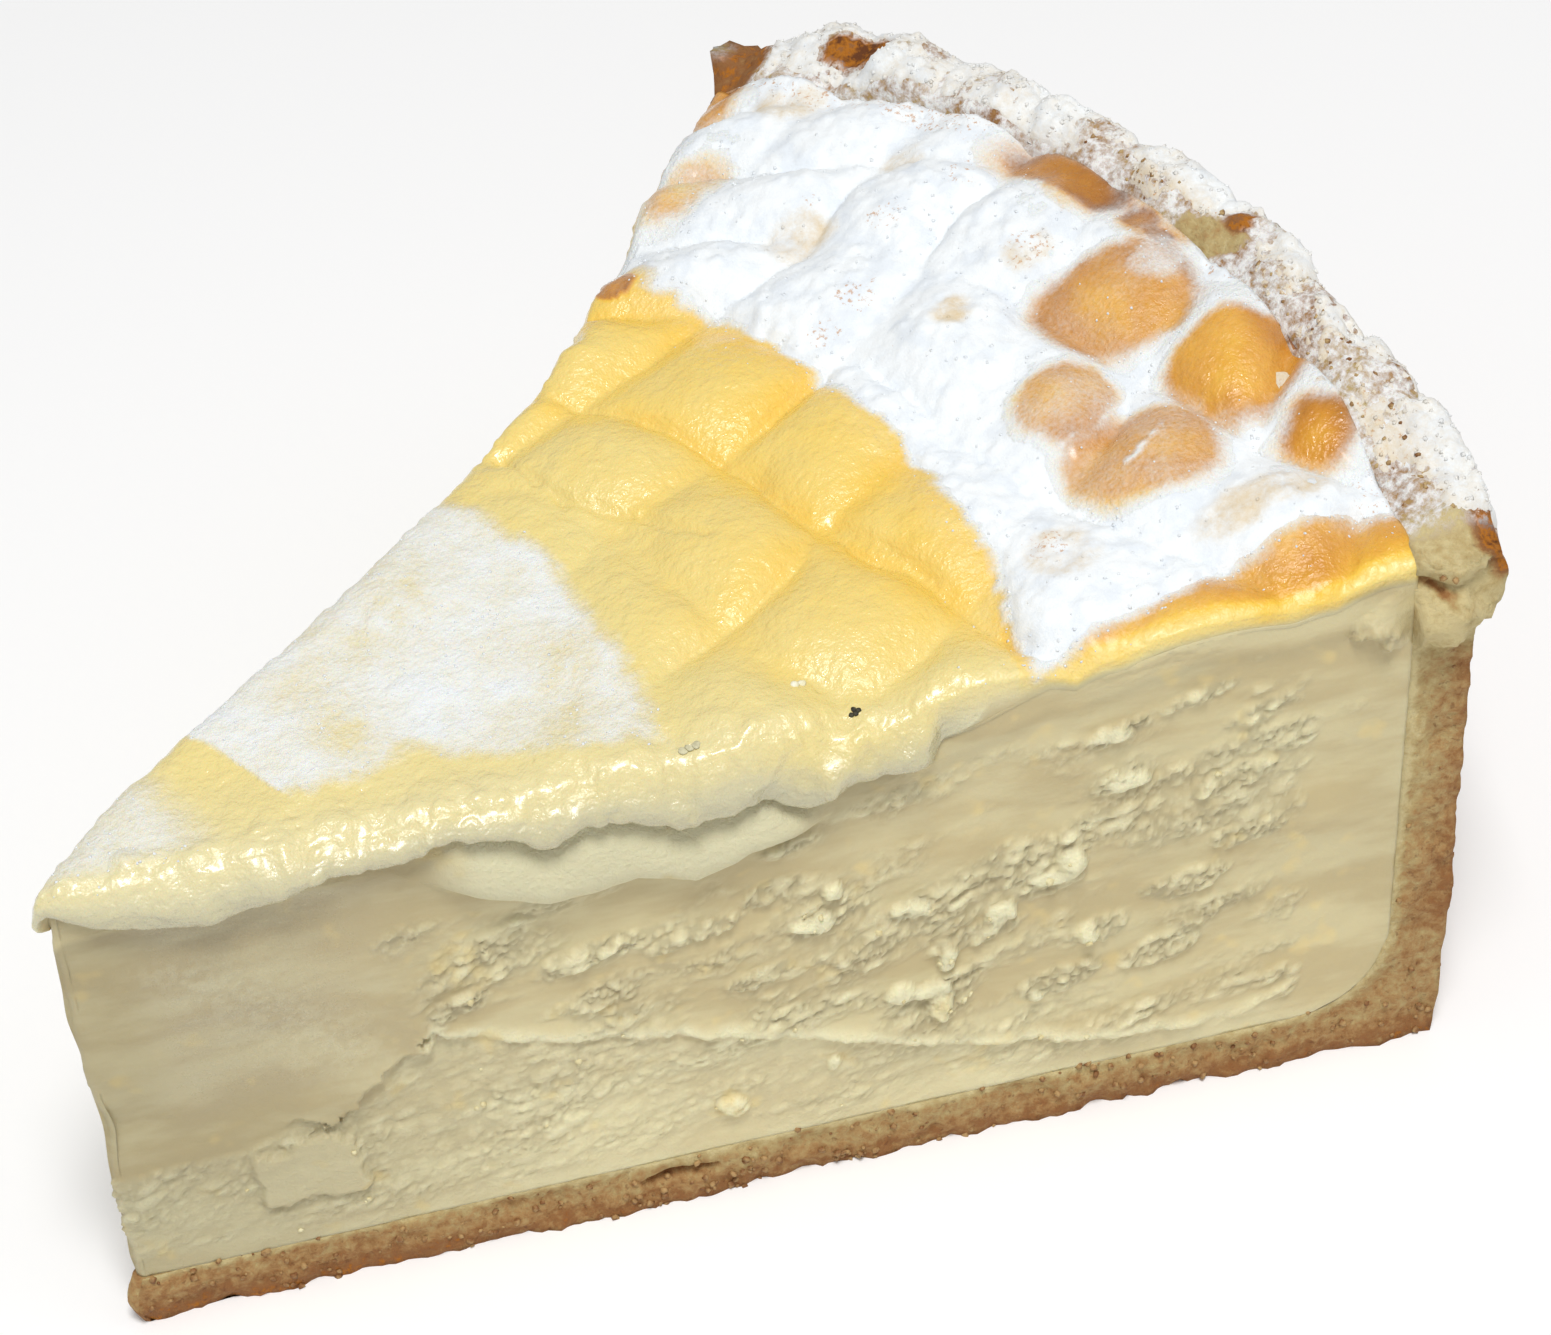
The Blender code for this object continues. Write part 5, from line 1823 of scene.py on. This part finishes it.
@dataclass(frozen=True)
class Strewn:
    """Small bits strewn over a surface by Geometry Nodes, as many as the surface's named value says."""

    name: str
    value: str
    per_square_cm: float
    smallest: float
    largest: float
    seed: int
    flat: float = 0.7
    detail: int = 1
    slot: str | None = None

    def tree(self, material: bpy.types.Material) -> bpy.types.NodeTree:
        """Makes the Geometry Nodes tree.

        Args:
            material: material of the bits.

        Returns:
            The tree.
        """
        made = bpy.data.node_groups.new("strew_" + self.name, "GeometryNodeTree")
        sockets = made.interface
        sockets.new_socket("Surface", in_out="INPUT", socket_type="NodeSocketGeometry")
        for name in ("Density", "Smallest", "Largest", "Flatness"):
            sockets.new_socket(name, in_out="INPUT", socket_type="NodeSocketFloat")
        sockets.new_socket("Bits", in_out="OUTPUT", socket_type="NodeSocketGeometry")
        wiring = Wiring(made)
        given = wiring.add("NodeGroupInput").outputs
        held = wiring.add("GeometryNodeInputNamedAttribute", {"Name": self.value}, data_type="FLOAT")
        amount = wiring.times(held.outputs[0], given["Density"])
        inputs = {"Mesh": given["Surface"], "Density": amount, "Seed": self.seed}
        spread = wiring.add("GeometryNodeDistributePointsOnFaces", inputs).outputs
        inputs = {"Radius": 1.0, "Subdivisions": self.detail}
        ball = wiring.add("GeometryNodeMeshIcoSphere", inputs).outputs[0]
        uneven = wiring.add("ShaderNodeTexNoise", {"Scale": 1.3, "Detail": 2.0}).outputs["Color"]
        inputs = {0: uneven, 1: (0.5, 0.5, 0.5)}
        centred = wiring.add("ShaderNodeVectorMath", inputs, operation="SUBTRACT").outputs[0]
        inputs = {0: centred, "Scale": 1.8}
        strong = wiring.add("ShaderNodeVectorMath", inputs, operation="SCALE").outputs[0]
        bit = wiring.add("GeometryNodeSetPosition", {"Geometry": ball, "Offset": strong}).outputs[0]
        inputs = {2: given["Smallest"], 3: given["Largest"], "Seed": self.seed + 1}
        size = wiring.add("FunctionNodeRandomValue", inputs, data_type="FLOAT").outputs[1]
        thin = wiring.times(size, given["Flatness"])
        scale = wiring.add("ShaderNodeCombineXYZ", {0: size, 1: size, 2: thin}).outputs[0]
        inputs = {0: (0.0, 0.0, 0.0), 1: (0.6, 0.6, 6.28), "Seed": self.seed + 2}
        turn = wiring.add("FunctionNodeRandomValue", inputs, data_type="FLOAT_VECTOR").outputs[0]
        inputs = {"Points": spread["Points"], "Instance": bit, "Rotation": spread["Rotation"], "Scale": scale}
        instances = wiring.add("GeometryNodeInstanceOnPoints", inputs).outputs[0]
        inputs = {"Instances": instances, "Rotation": turn}
        turned = wiring.add("GeometryNodeRotateInstances", inputs).outputs[0]
        real = wiring.add("GeometryNodeRealizeInstances", {0: turned}).outputs[0]
        inputs = {"Geometry": real, "Material": material}
        dressed = wiring.add("GeometryNodeSetMaterial", inputs).outputs[0]
        wiring.add("NodeGroupOutput", {"Bits": dressed})
        return made

    def build(self, surface: bpy.types.Object, material: bpy.types.Material) -> bpy.types.Object:
        """Strews the bits.

        Args:
            surface: the piece that they lie on.
            material: their material.

        Returns:
            The bits as one piece.
        """
        sizes = {
            "Density": self.per_square_cm * 1e4,
            "Smallest": self.smallest * 0.0005,
            "Largest": self.largest * 0.0005,
            "Flatness": self.flat,
        }
        holder = bpy.data.objects.new("holder", surface.data.copy())
        bpy.context.scene.collection.objects.link(holder)
        modifier = holder.modifiers.new("strew", "NODES")
        modifier.node_group = self.tree(material)
        for item in modifier.node_group.interface.items_tree:
            if item.name in sizes:
                modifier[item.identifier] = sizes[item.name]
        graph = bpy.context.evaluated_depsgraph_get()
        mesh = bpy.data.meshes.new_from_object(holder.evaluated_get(graph))
        bpy.data.objects.remove(holder, do_unlink=True)
        mesh.shade_smooth()
        return put_in_scene(self.name, mesh, material)


@dataclass(frozen=True)
class Speck:
    """A small bit of something else that lies on the skin, as a few lumps in a row."""

    name: str
    places: tuple
    size: float
    tall: float
    light: tuple
    dark: tuple

    def build(self, skin: BVHTree) -> None:
        """Makes it, on the skin.

        Args:
            skin: the skin's faces, to find its height.
        """
        points, faces = [], []
        for number, (x, y) in enumerate(self.places):
            above = ((x - SHAPE.shift_x) * 0.001, (y - SHAPE.shift_y) * 0.001, 0.1)
            top = skin.ray_cast(above, (0, 0, -1))[0].z * 1000
            made = bpy.data.meshes.new("lump")
            with_bmesh = bmesh.new()
            bmesh.ops.create_icosphere(with_bmesh, subdivisions=2, radius=1.0)
            with_bmesh.to_mesh(made)
            with_bmesh.free()
            ball = np.array([tuple(vertex.co) for vertex in made.vertices])
            uneven = 1 + 0.3 * noise(ball[:, 0], ball[:, 1], ball[:, 2], 0.8, 601 + number)
            ball = ball * uneven[:, None] * (self.size, self.size, self.tall) + (x, y, top)
            faces += [[len(points) + corner for corner in face.vertices] for face in made.polygons]
            points += ((ball - (SHAPE.shift_x, SHAPE.shift_y, 0.0)) * 0.001).tolist()
            bpy.data.meshes.remove(made)
        mesh = bpy.data.meshes.new(self.name)
        mesh.from_pydata(points, [], faces)
        mesh.shade_smooth()
        finish = PlainFinish(self.name, self.light, self.dark, 0.5)
        put_in_scene(self.name, mesh, finish.material())


class LightKind(Enum):
    """What a light of the studio does."""

    KEY = "key"
    FILL = "fill"
    GLINT = "glint"


@dataclass(frozen=True)
class SoftBox:
    """A square soft light that faces the slice."""

    kind: LightKind
    azimuth: float
    elevation: float
    distance: float
    side: float
    power: float

    def build(self) -> None:
        """Puts it in the scene."""
        data = bpy.data.lights.new(self.kind.value, "AREA")
        data.shape = "SQUARE"
        data.size = self.side
        data.energy = self.power
        light = bpy.data.objects.new(self.kind.value, data)
        around, up = math.radians(self.azimuth), math.radians(self.elevation)
        place = np.array((math.sin(around) * math.cos(up), -math.cos(around) * math.cos(up), math.sin(up)))
        facing = Matrix.Translation(tuple(place * self.distance + (0, 0, 0.03)))
        turn = Matrix.Rotation(around, 4, "Z") @ Matrix.Rotation(math.pi / 2 - up, 4, "X")
        light.matrix_world = facing @ turn
        bpy.context.scene.collection.objects.link(light)


@dataclass(frozen=True)
class Studio:
    """Camera, pale floor and soft light."""

    camera_place: tuple = (-0.14885, -0.21786, 0.28130)
    look: tuple = (0.4395989, 0.59163738, -0.67580916)
    right: tuple = (0.7731718, -0.63218181, -0.05051265)
    lens: float = 89.47
    floor_side: float = 6.0
    floor_tone: tuple = tint(252, 252, 252)
    sky_strength: float = 0.36
    lights: tuple = (
        SoftBox(LightKind.KEY, -30.0, 70.0, 1.1, 0.30, 8.4),
        SoftBox(LightKind.FILL, 50.0, 45.0, 1.6, 1.2, 1.2),
        SoftBox(LightKind.GLINT, -44.0, 58.0, 1.3, 0.09, 1.0),
    )

    def build_camera(self) -> None:
        """Makes the camera at the photograph's viewing angle."""
        look, right = np.array(self.look), np.array(self.right)
        up = np.cross(right, look)
        data = bpy.data.cameras.new("camera")
        data.lens = self.lens
        data.sensor_width = 36.0
        data.sensor_fit = "HORIZONTAL"
        data.clip_start, data.clip_end = 0.01, 50.0
        camera = bpy.data.objects.new("camera", data)
        axes = np.eye(4)
        axes[:3, 0], axes[:3, 1], axes[:3, 2], axes[:3, 3] = right, up, -look, self.camera_place
        camera.matrix_world = Matrix(axes.tolist())
        bpy.context.scene.collection.objects.link(camera)
        bpy.context.scene.camera = camera

    def build_floor(self) -> None:
        """Makes the floor."""
        half = self.floor_side / 2
        mesh = bpy.data.meshes.new("floor")
        corners = [(-half, -half, 0), (half, -half, 0), (half, half, 0), (-half, half, 0)]
        mesh.from_pydata(corners, [], [(0, 1, 2, 3)])
        made, shader, _ = Gloss(0.9, 0.1).start("pale_floor")
        shader.inputs["Base Color"].default_value = (*self.floor_tone, 1.0)
        mesh.materials.append(made)
        floor = bpy.data.objects.new("floor", mesh)
        bpy.context.scene.collection.objects.link(floor)

    def build_light(self) -> None:
        """Makes the sky and the soft lights."""
        world = bpy.data.worlds.new("studio")
        world.use_nodes = True
        sky = world.node_tree.nodes["Background"]
        sky.inputs["Color"].default_value = (1.0, 1.0, 1.0, 1.0)
        sky.inputs["Strength"].default_value = self.sky_strength
        bpy.context.scene.world = world
        for light in self.lights:
            light.build()
        bpy.context.scene.view_settings.view_transform = "Standard"


SUGAR = SugarFinish().material()
DARK_PLACES = ((64.0, -28.6), (64.3, -28.8), (64.4, -28.4), (64.7, -28.7))
PALE_PLACES = ((62.2, -23.2), (62.8, -23.4))
GREY_PLACES = ((50.2, -22.9), (50.8, -23.1), (51.3, -23.3))
SPECKS = (
    Speck("dark_speck", DARK_PLACES, 0.26, 0.16, tint(70, 66, 50), tint(30, 28, 22)),
    Speck("pale_fleck", PALE_PLACES, 0.4, 0.18, tint(245, 242, 220), tint(235, 228, 190)),
    Speck("grey_fleck", GREY_PLACES, 0.45, 0.12, tint(214, 208, 172), tint(192, 186, 152)),
)


def main() -> None:
    """Builds the slice and its studio, in order."""
    logging.basicConfig(level=logging.INFO, format="%(name)s: %(message)s")
    studio = Studio()
    studio.build_camera()
    curd, pastry = CurdWedge(), PastryShell()
    wedge = curd.build()
    skin = curd.build_skin()
    shell = pastry.build()
    cover = SugarCover(curd, pastry)
    field = cover.build_field()
    rim = cover.build_rim()
    torn = PlainFinish("torn_curd", tint(234, 226, 184), tint(212, 198, 150), 1.2).material()
    crumb = PlainFinish("baked_crumb", tint(180, 146, 96), tint(132, 88, 48), 0.9).material()
    browned = PlainFinish("browned_crumb", tint(190, 162, 112), tint(126, 82, 42), 0.9).material()
    Strewn("curd_bits", "bits", 12.0, 0.3, 0.9, 11, 0.5, 1, "curd").build(wedge, torn)
    Strewn("sugar_grains", "grains", 110.0, 0.15, 0.36, 12, 0.5).build(skin, SUGAR)
    Strewn("sugar_lumps", "powder", 50.0, 0.18, 0.46, 13, 0.4).build(field, SUGAR)
    Strewn("rim_sugar_lumps", "powder", 90.0, 0.2, 0.6, 14, 0.45).build(rim, SUGAR)
    Strewn("rim_crumbs", "flakes", 34.0, 0.25, 0.7, 15, 0.6, 1, "shortcrust").build(rim, browned)
    Strewn("crust_crumbs", "crumbs", 26.0, 0.3, 0.9, 16, 0.7, 1, "shortcrust").build(shell, crumb)
    places = [tuple(vertex.co) for vertex in skin.data.vertices]
    tree = BVHTree.FromPolygons(places, [tuple(face.vertices) for face in skin.data.polygons])
    for speck in SPECKS:
        speck.build(tree)
    studio.build_floor()
    studio.build_light()


if __name__ == "__main__":
    main()
